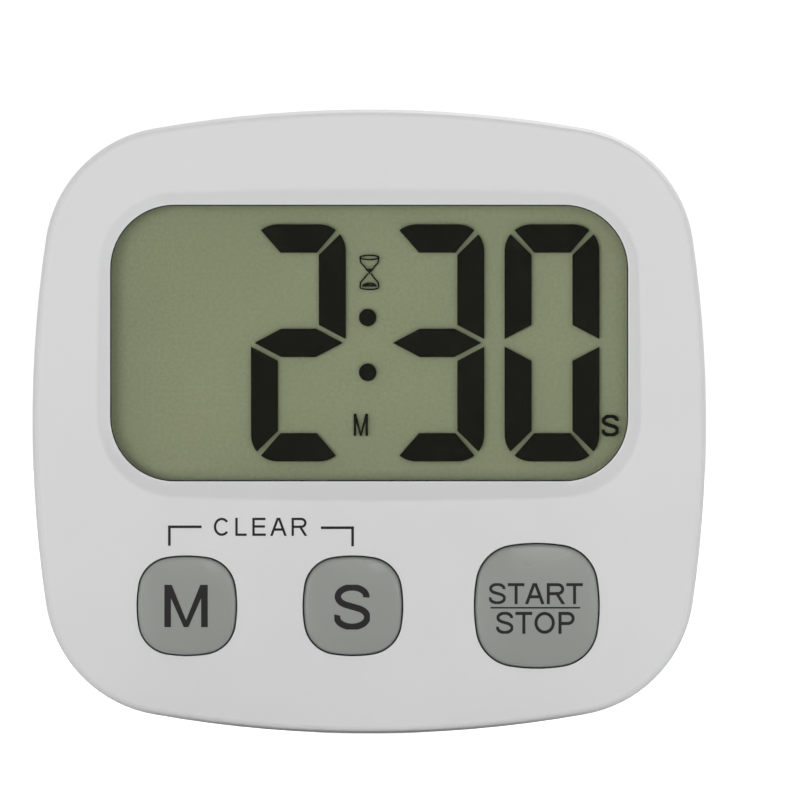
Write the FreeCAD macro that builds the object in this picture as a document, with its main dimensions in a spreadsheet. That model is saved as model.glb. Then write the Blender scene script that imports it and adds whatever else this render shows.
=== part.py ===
"""A digital kitchen timer: two-part case, large liquid crystal display, three push buttons,
a circuit board, one AAA cell behind a lift-up door, a buzzer, and a flip-out stand with magnets.

X runs to the right seen from the front, the front faces -Y and +Z is up.
The origin lies at the middle of the case's foot. All sizes are millimetres.
"""
import FreeCAD, Part
import os
import re
from math import atan2, cos, hypot, pi, sqrt, tan

import Sketcher

Vector = FreeCAD.Vector
CLOSE = 0.01

DIMENSIONS = [
    # the case
    ("side_border", 8.65, "width of the face on each side of the window"),
    ("case_height", 70.4, "overall height"),
    ("case_depth", 20.0, "overall depth"),
    ("side_bow", 141.0, "radius of the bowed left and right sides"),
    ("end_bow", 139.0, "radius of the bowed top and bottom"),
    ("case_corner", 14.85, "radius of the case's corners"),
    ("dome_radius", 900.0, "radius of the domed face"),
    ("case_wall", 1.6, "wall of both shells"),
    ("side_draft", 2.5, "draft of the side walls, degrees"),
    ("front_round", 0.6, "rounding of the front edge"),
    ("back_round", 1.8, "rounding of the back edge"),
    ("reveal", 0.35, "shadow gap at the parting line"),
    ("tongue_depth", 1.0, "how far the back shell's tongue reaches into the front shell"),
    ("joint_gap", 0.1, "clearance of the tongue in its rebate"),
    # the window
    ("window_width", 58.7, "opening's width"),
    ("window_height", 31.54, "opening's height"),
    ("window_corner", 7.44, "opening's corner radius"),
    ("window_place", 44.03, "height of the opening's middle"),
    ("lip_depth", 1.4, "depth of the bevel round the window"),
    ("bevel_angle", 56.4, "angle of that bevel from the line of sight, degrees"),
    ("lip_wall", 0.4, "thickness of the lip in front of the lens"),
    ("lip_land", 0.2, "width of the flat land inside the bevel"),
    ("ridge_round", 0.9, "rounding of the ridge round the bevel"),
    ("lens_border", 1.25, "how far the lens reaches past the opening"),
    ("lens_sheet", 0.7, "lens thickness"),
    ("tape_sheet", 0.1, "adhesive ring's thickness"),
    ("tape_width", 1.58, "adhesive ring's width"),
    # the display
    ("glass_border", 0.75, "how far the display glass reaches past the opening"),
    ("glass_ledge", 2.3, "ledge of the front glass below the rear glass"),
    ("glass_drop", 2.65, "how far the front glass reaches below the opening"),
    ("glass_sheet", 0.45, "thickness of each display glass"),
    ("polariser_sheet", 0.15, "thickness of the front polariser"),
    ("reflector_sheet", 0.25, "thickness of the rear polariser with its reflector"),
    ("seal_sheet", 0.1, "gap between the display glasses"),
    ("seal_width", 0.6, "width of the seal between the glasses"),
    ("lens_gap", 0.1, "air between the lens and the display"),
    ("frame_wall", 1.0, "wall of the display frame"),
    ("small_gap", 0.15, "clearance round the glass and between fixed pieces"),
    ("strip_width", 1.3, "width of the contact strip"),
    # the circuit board
    ("board_sheet", 1.0, "thickness of the circuit board"),
    ("board_gap", 2.6, "space between the display and the board"),
    ("board_width", 63.0, "board width"),
    ("board_foot", 6.6, "height of the board's lower edge"),
    ("board_top", 44.6, "height of the board's upper edge"),
    ("board_corner", 9.0, "board corner radius"),
    ("blob_radius", 4.5, "radius of the moulded chip cover"),
    ("blob_rise", 1.2, "rise of the chip cover"),
    ("crystal_radius", 1.0, "radius of the clock crystal's can"),
    ("crystal_length", 6.0, "length of the clock crystal's can"),
    ("chip_length", 2.0, "length of a chip resistor or capacitor"),
    ("chip_width", 1.25, "width of a chip resistor or capacitor"),
    ("resistor_rise", 0.5, "height of a chip resistor"),
    ("capacitor_rise", 1.0, "height of a chip capacitor"),
    ("chip_pitch", 2.5, "pitch of a row of chips"),
    ("blob_place", 12.0, "place of the chip cover across the board"),
    ("blob_height", 31.0, "height of the chip cover"),
    ("crystal_place", 1.0, "place of the crystal's foot across the board"),
    ("crystal_height", 37.5, "height of the crystal"),
    ("column_place", 22.0, "distance of the columns of chips from the middle"),
    ("column_height", 28.5, "height of the middle of a column of chips"),
    ("row_height", 38.0, "height of the row of chips near the board's top"),
    # the buttons
    ("key_place", 14.48, "height of the buttons' middle"),
    ("minutes_place", -20.50, "place of the minutes button across the case"),
    ("seconds_place", -1.83, "place of the seconds button across the case"),
    ("start_place", 18.85, "place of the start and stop button across the case"),
    ("key_half", 5.68, "half width of a small button's opening"),
    ("key_bow", 14.2, "radius of a small opening's sides"),
    ("key_corner", 3.86, "corner radius of a small opening"),
    ("start_half", 7.1, "half width of the large opening"),
    ("start_bow", 18.6, "radius of the large opening's sides"),
    ("start_corner", 4.67, "corner radius of the large opening"),
    ("key_gap", 0.17, "gap between a button and its opening"),
    ("key_round", 0.45, "rounding of a button's front edge"),
    ("cap_dome", 60.0, "radius of a button's domed front"),
    ("flange_depth", 2.8, "depth of a button's flange behind the case front"),
    ("flange_wall", 0.7, "thickness of a button's flange"),
    ("flange_border", 0.8, "how far a flange reaches past its button"),
    ("mat_sheet", 0.8, "thickness of the rubber mat"),
    ("mat_width", 53.0, "width of the rubber mat"),
    ("mat_height", 14.6, "height of the rubber mat"),
    ("mat_corner", 3.0, "corner radius of the rubber mat"),
    ("skirt_radius", 3.7, "radius of a rubber skirt at its foot"),
    ("skirt_wall", 0.4, "wall of a rubber skirt"),
    ("plunger_radius", 2.0, "radius of a rubber plunger"),
    ("skirt_gap", 0.15, "gap between a plunger and its skirt"),
    ("pill_radius", 1.6, "radius of a carbon pill"),
    ("pill_sheet", 0.7, "thickness of a carbon pill"),
    ("pill_lift", 1.0, "gap from a carbon pill to the board"),
    # the battery
    ("cell_diameter", 10.5, "diameter of an AAA cell"),
    ("cell_length", 44.5, "length of an AAA cell over its nub"),
    ("nub_radius", 1.9, "radius of the cell's positive nub"),
    ("nub_rise", 0.9, "rise of the nub"),
    ("cell_place", 53.0, "height of the cell's axis"),
    ("cell_gap", 0.3, "clearance round the cell"),
    ("bay_wall", 0.9, "wall of the battery bay"),
    ("contact_sheet", 0.4, "thickness of a battery contact"),
    ("contact_width", 8.0, "width of a battery contact"),
    ("contact_reach", 9.0, "reach of a battery contact along the depth"),
    ("tab_width", 3.0, "width of a contact's solder tab"),
    ("tab_length", 3.2, "how far a solder tab stands out of the bay"),
    ("dimple_radius", 1.5, "radius of the positive contact's dimple"),
    ("dimple_rise", 0.5, "rise of that dimple"),
    ("spring_length", 3.2, "length of the negative spring, pressed"),
    ("spring_radius", 2.9, "radius of the negative spring"),
    ("spring_wire", 0.3, "radius of its wire"),
    ("spring_turns", 2.5, "its number of turns"),
    ("door_sheet", 1.3, "thickness of the battery door"),
    ("door_border", 1.3, "how far the door reaches past the bay"),
    ("door_gap", 0.2, "gap round the battery door"),
    ("hook_width", 4.0, "width of a door hook"),
    ("hook_spread", 5.6, "distance between the two door hooks"),
    ("hook_reach", 1.2, "how far a hook reaches under the wall"),
    ("hook_wall", 0.8, "thickness of a hook"),
    ("hook_room", 0.5, "room for the hooks to swing"),
    ("notch_radius", 3.2, "radius of the finger notch at the door"),
    ("notch_depth", 1.0, "depth of that notch"),
    # the buzzer
    ("buzzer_radius", 10.0, "radius of the brass disc"),
    ("buzzer_sheet", 0.25, "thickness of the brass disc"),
    ("ceramic_radius", 7.0, "radius of the ceramic disc"),
    ("ceramic_sheet", 0.2, "thickness of the ceramic disc"),
    ("buzzer_seat", 0.6, "height of the ring that carries the buzzer"),
    ("buzzer_place", 25.0, "height of the buzzer's middle"),
    ("sound_radius", 0.7, "radius of a sound hole"),
    ("sound_pitch", 3.0, "pitch of the sound holes"),
    # the stand
    ("stand_width", 40.0, "width of the stand"),
    ("stand_pivot", 43.0, "height of the stand's axis"),
    ("stand_length", 35.0, "length of the stand below its axis"),
    ("stand_sheet", 2.3, "thickness of the stand"),
    ("stand_corner", 4.0, "corner radius of the stand's foot"),
    ("stand_gap", 0.3, "gap round the stand"),
    ("barrel_radius", 1.7, "radius of the stand's barrel"),
    ("pin_radius", 1.1, "radius of the stand's pins"),
    ("pin_length", 1.2, "length of the stand's pins"),
    ("pin_gap", 0.07, "clearance of the pins in their holes"),
    ("recess_wall", 1.3, "wall of the stand's recess"),
    ("finger_radius", 5.5, "radius of the stand's finger notch"),
    ("magnet_radius", 6.0, "radius of a magnet"),
    ("magnet_sheet", 1.5, "thickness of a magnet"),
    ("magnet_spread", 20.0, "distance between the magnets"),
    ("magnet_place", 25.0, "height of the magnets"),
    ("magnet_gap", 0.05, "clearance of a magnet in its pocket"),
    # the screws
    ("post_radius", 2.2, "radius of a case screw's post"),
    ("post_split", 1.5, "depth of the joint between a post and its boss"),
    ("screw_radius", 1.1, "radius of a case screw"),
    ("screw_bite", 0.1, "how far its thread cuts into the post"),
    ("screw_length", 9.0, "length of a case screw below its head"),
    ("head_radius", 1.8, "radius of a case screw's head"),
    ("head_rise", 1.2, "height of a case screw's head"),
    ("head_sink", 4.5, "depth of a case screw's head below the back"),
    ("screw_room", 0.2, "clearance round a screw and its head"),
    ("drive_width", 0.6, "width of the cross recess"),
    ("drive_share", 0.6, "half length of the cross recess, as a share of the head's radius"),
    ("drive_depth", 0.7, "depth of the cross recess"),
    ("high_screw_place", 20.0, "distance of the upper screws from the middle"),
    ("high_screw_height", 64.2, "height of the upper screws"),
    ("low_screw_place", 29.0, "distance of the lower screws from the middle"),
    ("low_screw_height", 9.6, "height of the lower screws"),
    ("boss_wall", 1.0, "wall round a case screw's head"),
    ("board_post_radius", 1.8, "radius of a board screw's post"),
    ("board_screw_radius", 0.8, "radius of a board screw"),
    ("board_screw_length", 4.0, "length of a board screw below its head"),
    ("board_head_radius", 1.6, "radius of a board screw's head"),
    ("board_head_rise", 0.9, "height of a board screw's head"),
    ("board_screw_place", 29.3, "distance of the outer board screws from the middle"),
    ("board_screw_height", 21.4, "height of the outer board screws"),
    ("inner_screw_height", 9.5, "height of the inner board screws"),
    # the leads
    ("lead_radius", 0.5, "radius of an insulated lead"),
    ("lead_place", 29.0, "distance of the battery leads' pads from the middle"),
    ("lead_height", 39.5, "height of those pads"),
    ("buzzer_pad_place", 9.0, "distance of the buzzer leads' pads from the middle"),
    ("buzzer_pad_height", 33.5, "height of the lower of those pads"),
    ("buzzer_pad_pitch", 3.0, "pitch of those pads"),
    ("buzzer_lead_place", 3.0, "distance of the lead on the ceramic from the middle"),
    ("brass_lead_place", 8.6, "distance of the lead on the brass from the middle"),
    ("buzzer_lead_turn", 2.0, "how far each stretch of a buzzer lead goes aside"),
    ("solder_radius", 0.9, "radius of a solder joint"),
    ("solder_rise", 0.6, "rise of a solder joint"),
]

doc = FreeCAD.newDocument("kitchen_timer")
sheet = doc.addObject("Spreadsheet::Sheet", "dims")
for row, (alias, number, note) in enumerate(DIMENSIONS, start=1):
    sheet.set(f"A{row}", note)
    sheet.set(f"B{row}", str(number))
    sheet.setAlias(f"B{row}", alias)
doc.recompute()

NAMES = {alias for alias, number, note in DIMENSIONS}
SUB_PARTS = []


def qualified(formula):
    """Write a formula of sheet names in the form that an expression needs."""
    return re.sub(r"[a-z_]+", lambda word: ("dims." if word[0] in NAMES else "") + word[0], str(formula))


def value(formula):
    """The number that a formula of sheet names gives."""
    return float(sheet.evalExpression(qualified(formula)))


def bind(thing, property_name, formula):
    """Tie a property to a formula of sheet names."""
    thing.setExpression(property_name, qualified(formula))


def sub_part(thing, label):
    """Name an object as one physical piece of the timer."""
    thing.Label = label
    SUB_PARTS.append(thing)
    return thing


# --- outlines: each draws closed, constrained curves in a sketch of the X-Z plane ---

def hold(sketch, formula, *constraint):
    """Add a sized constraint and tie its value to a formula."""
    index = sketch.addConstraint(Sketcher.Constraint(*constraint, value(formula)))
    bind(sketch, f"Constraints[{index}]", formula)


def disc(across, up, radius):
    """A circle about a centre."""
    def draw(sketch):
        centre = Vector(value(across), value(up), 0)
        circle = sketch.addGeometry(Part.Circle(centre, Vector(0, 0, 1), value(radius)), False)
        hold(sketch, radius, "Radius", circle)
        hold(sketch, across, "DistanceX", -1, 1, circle, 3)
        hold(sketch, up, "DistanceY", -1, 1, circle, 3)
    return draw


def box(across, up, half_width, half_height):
    """A rectangle about a centre."""
    def draw(sketch):
        left, right = value(across) - value(half_width), value(across) + value(half_width)
        low, high = value(up) - value(half_height), value(up) + value(half_height)
        corners = [Vector(left, low, 0), Vector(right, low, 0), Vector(right, high, 0), Vector(left, high, 0)]
        sides = []
        for start, end in zip(corners, corners[1:] + corners[:1]):
            sides.append(sketch.addGeometry(Part.LineSegment(start, end), False))
        for i, side in enumerate(sides):
            sketch.addConstraint(Sketcher.Constraint("Coincident", side, 2, sides[(i + 1) % 4], 1))
            sketch.addConstraint(Sketcher.Constraint("Vertical" if i % 2 else "Horizontal", side))
        hold(sketch, f"{across} - ({half_width})", "DistanceX", -1, 1, sides[0], 1)
        hold(sketch, f"{across} + {half_width}", "DistanceX", -1, 1, sides[1], 1)
        hold(sketch, f"{up} - ({half_height})", "DistanceY", -1, 1, sides[0], 1)
        hold(sketch, f"{up} + {half_height}", "DistanceY", -1, 1, sides[2], 1)
    return draw


def rounded(across, up, half_width, half_height, corner):
    """A rectangle with round corners about a centre."""
    def draw(sketch):
        x, z = value(across), value(up)
        w, d, r = value(half_width), value(half_height), value(corner)
        points = []
        for sx, sz in ((1, -1), (1, 1), (-1, 1), (-1, -1)):
            points.append((x + sx * (w - r), z + sz * (d - r)))
        lines, arcs = [], []
        for i, (cx, cz) in enumerate(points):
            start = radians_of(-90 + 90 * i)
            circle = Part.Circle(Vector(cx, cz, 0), Vector(0, 0, 1), r)
            arcs.append(sketch.addGeometry(Part.ArcOfCircle(circle, start, start + radians_of(90)), False))
        for i in range(4):
            ax, az = points[i]
            bx, bz = points[(i + 1) % 4]
            nx, nz = ((1, 0), (0, 1), (-1, 0), (0, -1))[i]
            a = Vector(ax + nx * r, az + nz * r, 0)
            b = Vector(bx + nx * r, bz + nz * r, 0)
            lines.append(sketch.addGeometry(Part.LineSegment(a, b), False))
        for i in range(4):
            sketch.addConstraint(Sketcher.Constraint("Tangent", arcs[i], 2, lines[i], 1))
            sketch.addConstraint(Sketcher.Constraint("Tangent", lines[i], 2, arcs[(i + 1) % 4], 1))
            sketch.addConstraint(Sketcher.Constraint("Horizontal" if i % 2 else "Vertical", lines[i]))
        for arc in arcs[1:]:
            sketch.addConstraint(Sketcher.Constraint("Equal", arcs[0], arc))
        hold(sketch, corner, "Radius", arcs[0])
        hold(sketch, f"{across} + {half_width}", "DistanceX", -1, 1, lines[0], 1)
        hold(sketch, f"{up} + {half_height}", "DistanceY", -1, 1, lines[1], 1)
        hold(sketch, f"{across} - ({half_width})", "DistanceX", -1, 1, lines[2], 1)
        hold(sketch, f"{up} - ({half_height})", "DistanceY", -1, 1, lines[3], 1)
    return draw


def bowed(across, up, half_width, half_height, side_radius, end_radius, corner):
    """A cushion outline: four bowed sides joined by four tangent corner arcs."""
    def draw(sketch):
        x, z = value(across), value(up)
        w, d, r = value(half_width), value(half_height), value(corner)
        side, end = value(side_radius), value(end_radius)
        # the corner's centre lies at side - r from the side arc's centre and end - r from the end arc's
        px, pz = side - w, end - d
        reach_side, reach_end = side - r, end - r
        span = hypot(px, pz)
        along = (reach_side ** 2 - reach_end ** 2 + span ** 2) / (2 * span)
        off = sqrt(reach_side ** 2 - along ** 2)
        cx = -px + (px * along + pz * off) / span
        cz = (-pz * along + px * off) / span
        side_half = atan2(cz, cx + px)
        end_half = atan2(cx, cz + pz)
        quarter = radians_of(90)
        bows, corners = [], []
        bow_data = ((x + w - side, z, side, 0, side_half), (x, z + d - end, end, quarter, end_half),
                    (x - w + side, z, side, 2 * quarter, side_half), (x, z - d + end, end, -quarter, end_half))
        for bx, bz, radius, middle, half in bow_data:
            circle = Part.Circle(Vector(bx, bz, 0), Vector(0, 0, 1), radius)
            bows.append(sketch.addGeometry(Part.ArcOfCircle(circle, middle - half, middle + half), False))
        corner_data = ((1, 1, side_half, quarter - end_half),
                       (-1, 1, quarter + end_half, 2 * quarter - side_half),
                       (-1, -1, 2 * quarter + side_half, 3 * quarter - end_half),
                       (1, -1, -quarter + end_half, -side_half))
        for sx, sz, first, last in corner_data:
            circle = Part.Circle(Vector(x + sx * cx, z + sz * cz, 0), Vector(0, 0, 1), r)
            corners.append(sketch.addGeometry(Part.ArcOfCircle(circle, first, last), False))
        for i in range(4):
            sketch.addConstraint(Sketcher.Constraint("Tangent", bows[i], 2, corners[i], 1))
            sketch.addConstraint(Sketcher.Constraint("Tangent", corners[i], 2, bows[(i + 1) % 4], 1))
            if i:
                sketch.addConstraint(Sketcher.Constraint("Equal", corners[0], corners[i]))
        hold(sketch, corner, "Radius", corners[0])
        for bow, radius in zip(bows, (side_radius, end_radius, side_radius, end_radius)):
            hold(sketch, radius, "Radius", bow)
        hold(sketch, f"{across} + {half_width} - ({side_radius})", "DistanceX", -1, 1, bows[0], 3)
        hold(sketch, f"{across} - ({half_width}) + {side_radius}", "DistanceX", -1, 1, bows[2], 3)
        hold(sketch, f"{up} + {half_height} - ({end_radius})", "DistanceY", -1, 1, bows[1], 3)
        hold(sketch, f"{up} - ({half_height}) + {end_radius}", "DistanceY", -1, 1, bows[3], 3)
        for bow in (bows[0], bows[2]):
            hold(sketch, up, "DistanceY", -1, 1, bow, 3)
        for bow in (bows[1], bows[3]):
            hold(sketch, across, "DistanceX", -1, 1, bow, 3)
    return draw


def radians_of(angle):
    """Degrees as radians."""
    return angle * pi / 180


# --- solids ---

def new_body(name):
    """A body that may hold several separate solids, with its X-Z plane."""
    body = doc.addObject("PartDesign::Body", name)
    body.AllowCompound = True
    return body


def origin_plane(body, role):
    """One of a body's own origin planes."""
    return [plane for plane in body.Origin.OriginFeatures if plane.Role == role][0]


def prism(name, outlines, start, end, taper=None):
    """Outlines in the X-Z plane carried along Y from start to end, widening by taper degrees."""
    body = new_body(name)
    sketch = body.newObject("Sketcher::SketchObject", name + "_sketch")
    sketch.AttachmentSupport = [(origin_plane(body, "XZ_Plane"), "")]
    sketch.MapMode = "FlatFace"
    bind(sketch, "AttachmentOffset.Base.z", f"-({start})")
    for draw in outlines:
        draw(sketch)
    pad = body.newObject("PartDesign::Pad", name + "_pad")
    pad.Profile = sketch
    backwards = value(end) > value(start)
    pad.Reversed = backwards
    bind(pad, "Length", f"{end} - ({start})" if backwards else f"{start} - ({end})")
    if taper:
        bind(pad, "TaperAngle", taper)
    body.Tip = pad
    return body


def joined(name, pieces):
    """Several solids made one object."""
    fuse = doc.addObject("Part::MultiFuse", name)
    fuse.Shapes = pieces
    fuse.Refine = True
    return fuse


def cut(name, base, tools):
    """A solid less one or more tools."""
    result = doc.addObject("Part::Cut", name)
    result.Base = base
    result.Tool = tools[0] if len(tools) == 1 else joined(name + "_tools", tools)
    result.Refine = True
    return result


def common(name, base, tool):
    """What two solids share."""
    result = doc.addObject("Part::Common", name)
    result.Base = base
    result.Tool = tool
    result.Refine = True
    return result


def along_x(name, radius, length, start, depth, up):
    """A cylinder that lies along X from a starting place."""
    rod = doc.addObject("Part::Cylinder", name)
    rod.Placement = FreeCAD.Placement(Vector(), FreeCAD.Rotation(Vector(0, 1, 0), 90))
    bind(rod, "Radius", radius)
    bind(rod, "Height", length)
    bind(rod, "Placement.Base.x", start)
    bind(rod, "Placement.Base.y", depth)
    bind(rod, "Placement.Base.z", up)
    return rod


def rounded_edges(name, base, radius, chosen):
    """Round the edges of a solid that a test chooses."""
    doc.recompute()
    fillet = doc.addObject("Part::Fillet", name)
    fillet.Base = base
    size = value(radius)
    numbers = [i for i, edge in enumerate(base.Shape.Edges, start=1) if chosen(edge)]
    fillet.Edges = [(number, size, size) for number in numbers]
    return fillet


# --- depths, from the front of the case to its back ---

CASE_WIDTH = "(window_width + 2 * side_border)"
FRONT = "-case_depth / 2"
BACK = "case_depth / 2"
MIDDLE = "case_height / 2"
LIP = f"{FRONT} + lip_depth"
LIP_BACK = f"{LIP} + lip_wall"
LENS = f"{LIP_BACK} + tape_sheet"
LENS_BACK = f"{LENS} + lens_sheet"
POLARISER = f"{LENS_BACK} + lens_gap"
GLASS = f"{POLARISER} + polariser_sheet"
GLASS_BACK = f"{GLASS} + glass_sheet"
REAR_GLASS = f"{GLASS_BACK} + seal_sheet"
REFLECTOR = f"{REAR_GLASS} + glass_sheet"
REFLECTOR_BACK = f"{REFLECTOR} + reflector_sheet"
BOARD = f"{REFLECTOR_BACK} + board_gap"
BOARD_BACK = f"{BOARD} + board_sheet"
MAT = f"{BOARD} - mat_sheet"
FLANGE = f"{FRONT} + flange_depth"
FLANGE_BACK = f"{FLANGE} + flange_wall"
DOOR = f"{BACK} - door_sheet"
CELL_AXIS = f"{DOOR} - cell_gap - cell_diameter / 2"
BAY_FLOOR = f"{CELL_AXIS} - cell_diameter / 2 - cell_gap"
BAY_FRONT = f"{BAY_FLOOR} - bay_wall"
STAND_AXIS = f"{BACK} - barrel_radius"
STAND = f"{BACK} - stand_sheet"
RECESS = f"{BACK} - 2 * barrel_radius - stand_gap"
RECESS_FRONT = f"{RECESS} - recess_wall"
POST_END = "post_split"
HEAD = f"{BACK} - head_sink"


# --- the case ---

def case_outline(inset):
    """The case's outline, drawn in by an inset."""
    return bowed("0", MIDDLE, f"{CASE_WIDTH} / 2 - ({inset})", f"case_height / 2 - ({inset})",
                 f"side_bow - ({inset})", f"end_bow - ({inset})", f"case_corner - ({inset})")


def dome(name, inset):
    """The ball whose surface is the case's domed face, drawn in by an inset."""
    ball = doc.addObject("Part::Sphere", name)
    bind(ball, "Radius", f"dome_radius - {inset}")
    bind(ball, "Placement.Base.y", f"{FRONT} + dome_radius")
    bind(ball, "Placement.Base.z", MIDDLE)
    return ball


def discs(places, radius):
    """A circle at each of several places."""
    return [disc(across, up, radius) for across, up in places]


def key_outline(place, kind, inset):
    """A button's cushion outline, drawn in by an inset."""
    half = f"{kind}_half - ({inset})"
    bow = f"{kind}_bow - ({inset})"
    return bowed(place, "key_place", half, half, bow, bow, f"{kind}_corner - ({inset})")


def window_outline(border):
    """The window's outline, let out by a border."""
    return rounded("0", "window_place", f"window_width / 2 + {border}", f"window_height / 2 + {border}",
                   f"window_corner + {border}")


HIGH_SCREWS = [("-high_screw_place", "high_screw_height"), ("high_screw_place", "high_screw_height")]
LOW_SCREWS = [("-low_screw_place", "low_screw_height"), ("low_screw_place", "low_screw_height")]
CASE_SCREWS = HIGH_SCREWS + LOW_SCREWS
INNER_SCREWS = [("(minutes_place + seconds_place) / 2", "inner_screw_height"),
                ("(seconds_place + key_half + start_place - start_half) / 2", "inner_screw_height")]
OUTER_SCREWS = [("-board_screw_place", "board_screw_height"), ("board_screw_place", "board_screw_height")]
BOARD_SCREWS = OUTER_SCREWS + INNER_SCREWS
KEYS = [("minutes", "minutes_place", "key"), ("seconds", "seconds_place", "key"),
        ("start_stop", "start_place", "start")]


def front_shell():
    """Domed front with its bevelled window, button openings and screw posts."""
    drafted = prism("front_prism", [case_outline("0")], "0", FRONT, "-side_draft")
    domed = common("front_domed", drafted, dome("front_dome", "0"))
    rim = rounded_edges("front_rim", domed, "front_round", on_front_edge)
    core_prism = prism("front_core_prism", [case_outline("case_wall")], "0", FRONT, "-side_draft")
    hollow = cut("front_hollow", rim, [common("front_core", core_prism, dome("front_core_dome", "case_wall"))])
    ledge = prism("window_ledge", [window_outline("lens_border + small_gap + case_wall")], LIP_BACK, LIP)
    room_prism = prism("post_room_prism", [case_outline("case_wall / 2")], "case_depth", FRONT)
    room = common("post_room", room_prism, dome("post_room_dome", "case_wall / 2"))
    post_prism = prism("case_post_prism", discs(CASE_SCREWS, "post_radius"), LIP, POST_END)
    posts = common("case_posts", post_prism, room)
    board_posts = prism("board_posts", discs(BOARD_SCREWS, "board_post_radius"), LIP, BOARD)
    solid = joined("front_solid", [hollow, ledge, posts, board_posts])
    funnel = prism("window_funnel", [window_outline("0")], LIP, f"{FRONT} - lip_depth", "bevel_angle")
    opening = prism("window_opening", [window_outline("(-lip_land)")], f"{FRONT} - lip_depth", LENS)
    pocket = prism("lens_pocket", [window_outline("lens_border + small_gap")], LIP_BACK, GLASS_BACK)
    keys = [prism(f"{name}_opening", [key_outline(place, kind, "0")], f"{FRONT} - lip_depth", FLANGE)
            for name, place, kind in KEYS]
    pilots = prism("case_pilots", discs(CASE_SCREWS, "screw_radius - screw_bite"),
                   f"{HEAD} - screw_length - screw_bite", f"{POST_END} + case_wall")
    board_pilots = prism("board_pilots", discs(BOARD_SCREWS, "board_screw_radius - screw_bite"),
                         f"{BOARD_BACK} - board_screw_length - screw_bite", f"{BOARD} + case_wall")
    rebate_prism = prism("rebate_prism", [case_outline("case_wall / 2")], "-tongue_depth - joint_gap",
                         "case_wall")
    rebate_core = prism("rebate_core", [case_outline("2 * case_wall")], "-2 * tongue_depth", "2 * case_wall")
    rebate = cut("rebate", rebate_prism, [rebate_core])
    trimmed = cut("front_trimmed", solid, [funnel, opening, pocket, *keys, pilots, board_pilots, rebate])
    sub_part(rounded_edges("front_shell_solid", trimmed, "ridge_round", on_window_ridge), "front_shell")


def on_front_edge(edge):
    """True for an edge of the domed face's border."""
    first, last = edge.valueAt(edge.FirstParameter), edge.valueAt(edge.LastParameter)
    return edge.CenterOfMass.y < value(FRONT) / 2 and abs(first.y - last.y) < value("case_wall")


def on_window_ridge(edge):
    """True for an edge of the ridge between the domed face and the window's bevel."""
    places = [edge.valueAt(edge.FirstParameter), edge.valueAt(edge.LastParameter), edge.CenterOfMass]
    across, up = value("window_width / 2"), value("window_height / 2")
    reach = value("lip_depth * tan(bevel_angle)") + value("case_wall")
    for place in places:
        inside_x = abs(place.x) < across + reach
        inside_z = abs(place.z - value("window_place")) < up + reach
        if not (inside_x and inside_z and place.y < value(f"{LIP} - joint_gap")):
            return False
    return abs(edge.CenterOfMass.z - value("window_place")) < up + reach


BAY_HALF = "((cell_length + spring_length + dimple_rise + 2 * contact_sheet) / 2 + joint_gap)"
BAY_RISE = "(cell_diameter / 2 + cell_gap)"
DOOR_HALF = f"({BAY_HALF} + door_border)"
DOOR_RISE = f"({BAY_RISE} + door_border)"
LEDGE = f"{DOOR} - hook_wall - hook_room - bay_wall"
HOOKS = ("cell_place - hook_spread / 2", "cell_place + hook_spread / 2")
TAB = f"{CELL_AXIS} - cell_diameter / 4"
RECESS_LOW = "(stand_pivot - stand_length - stand_gap)"
RECESS_HIGH = "(stand_pivot + barrel_radius + stand_gap)"


def recess_outline(border):
    """The stand's recess, let out by a border."""
    return box("0", f"({RECESS_LOW} + {RECESS_HIGH}) / 2", f"stand_width / 2 + stand_gap + {border}",
               f"({RECESS_HIGH} - {RECESS_LOW}) / 2 + {border}")


def bay_outline(border):
    """The battery bay, let out by a border."""
    return box("0", "cell_place", f"{BAY_HALF} + {border}", f"{BAY_RISE} + {border}")


def sound_holes():
    """The places of the sound holes: one in the middle and four round it."""
    return [("0", "buzzer_place"), ("sound_pitch", "buzzer_place"), ("-sound_pitch", "buzzer_place"),
            ("0", "buzzer_place + sound_pitch"), ("0", "buzzer_place - sound_pitch")]


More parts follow.
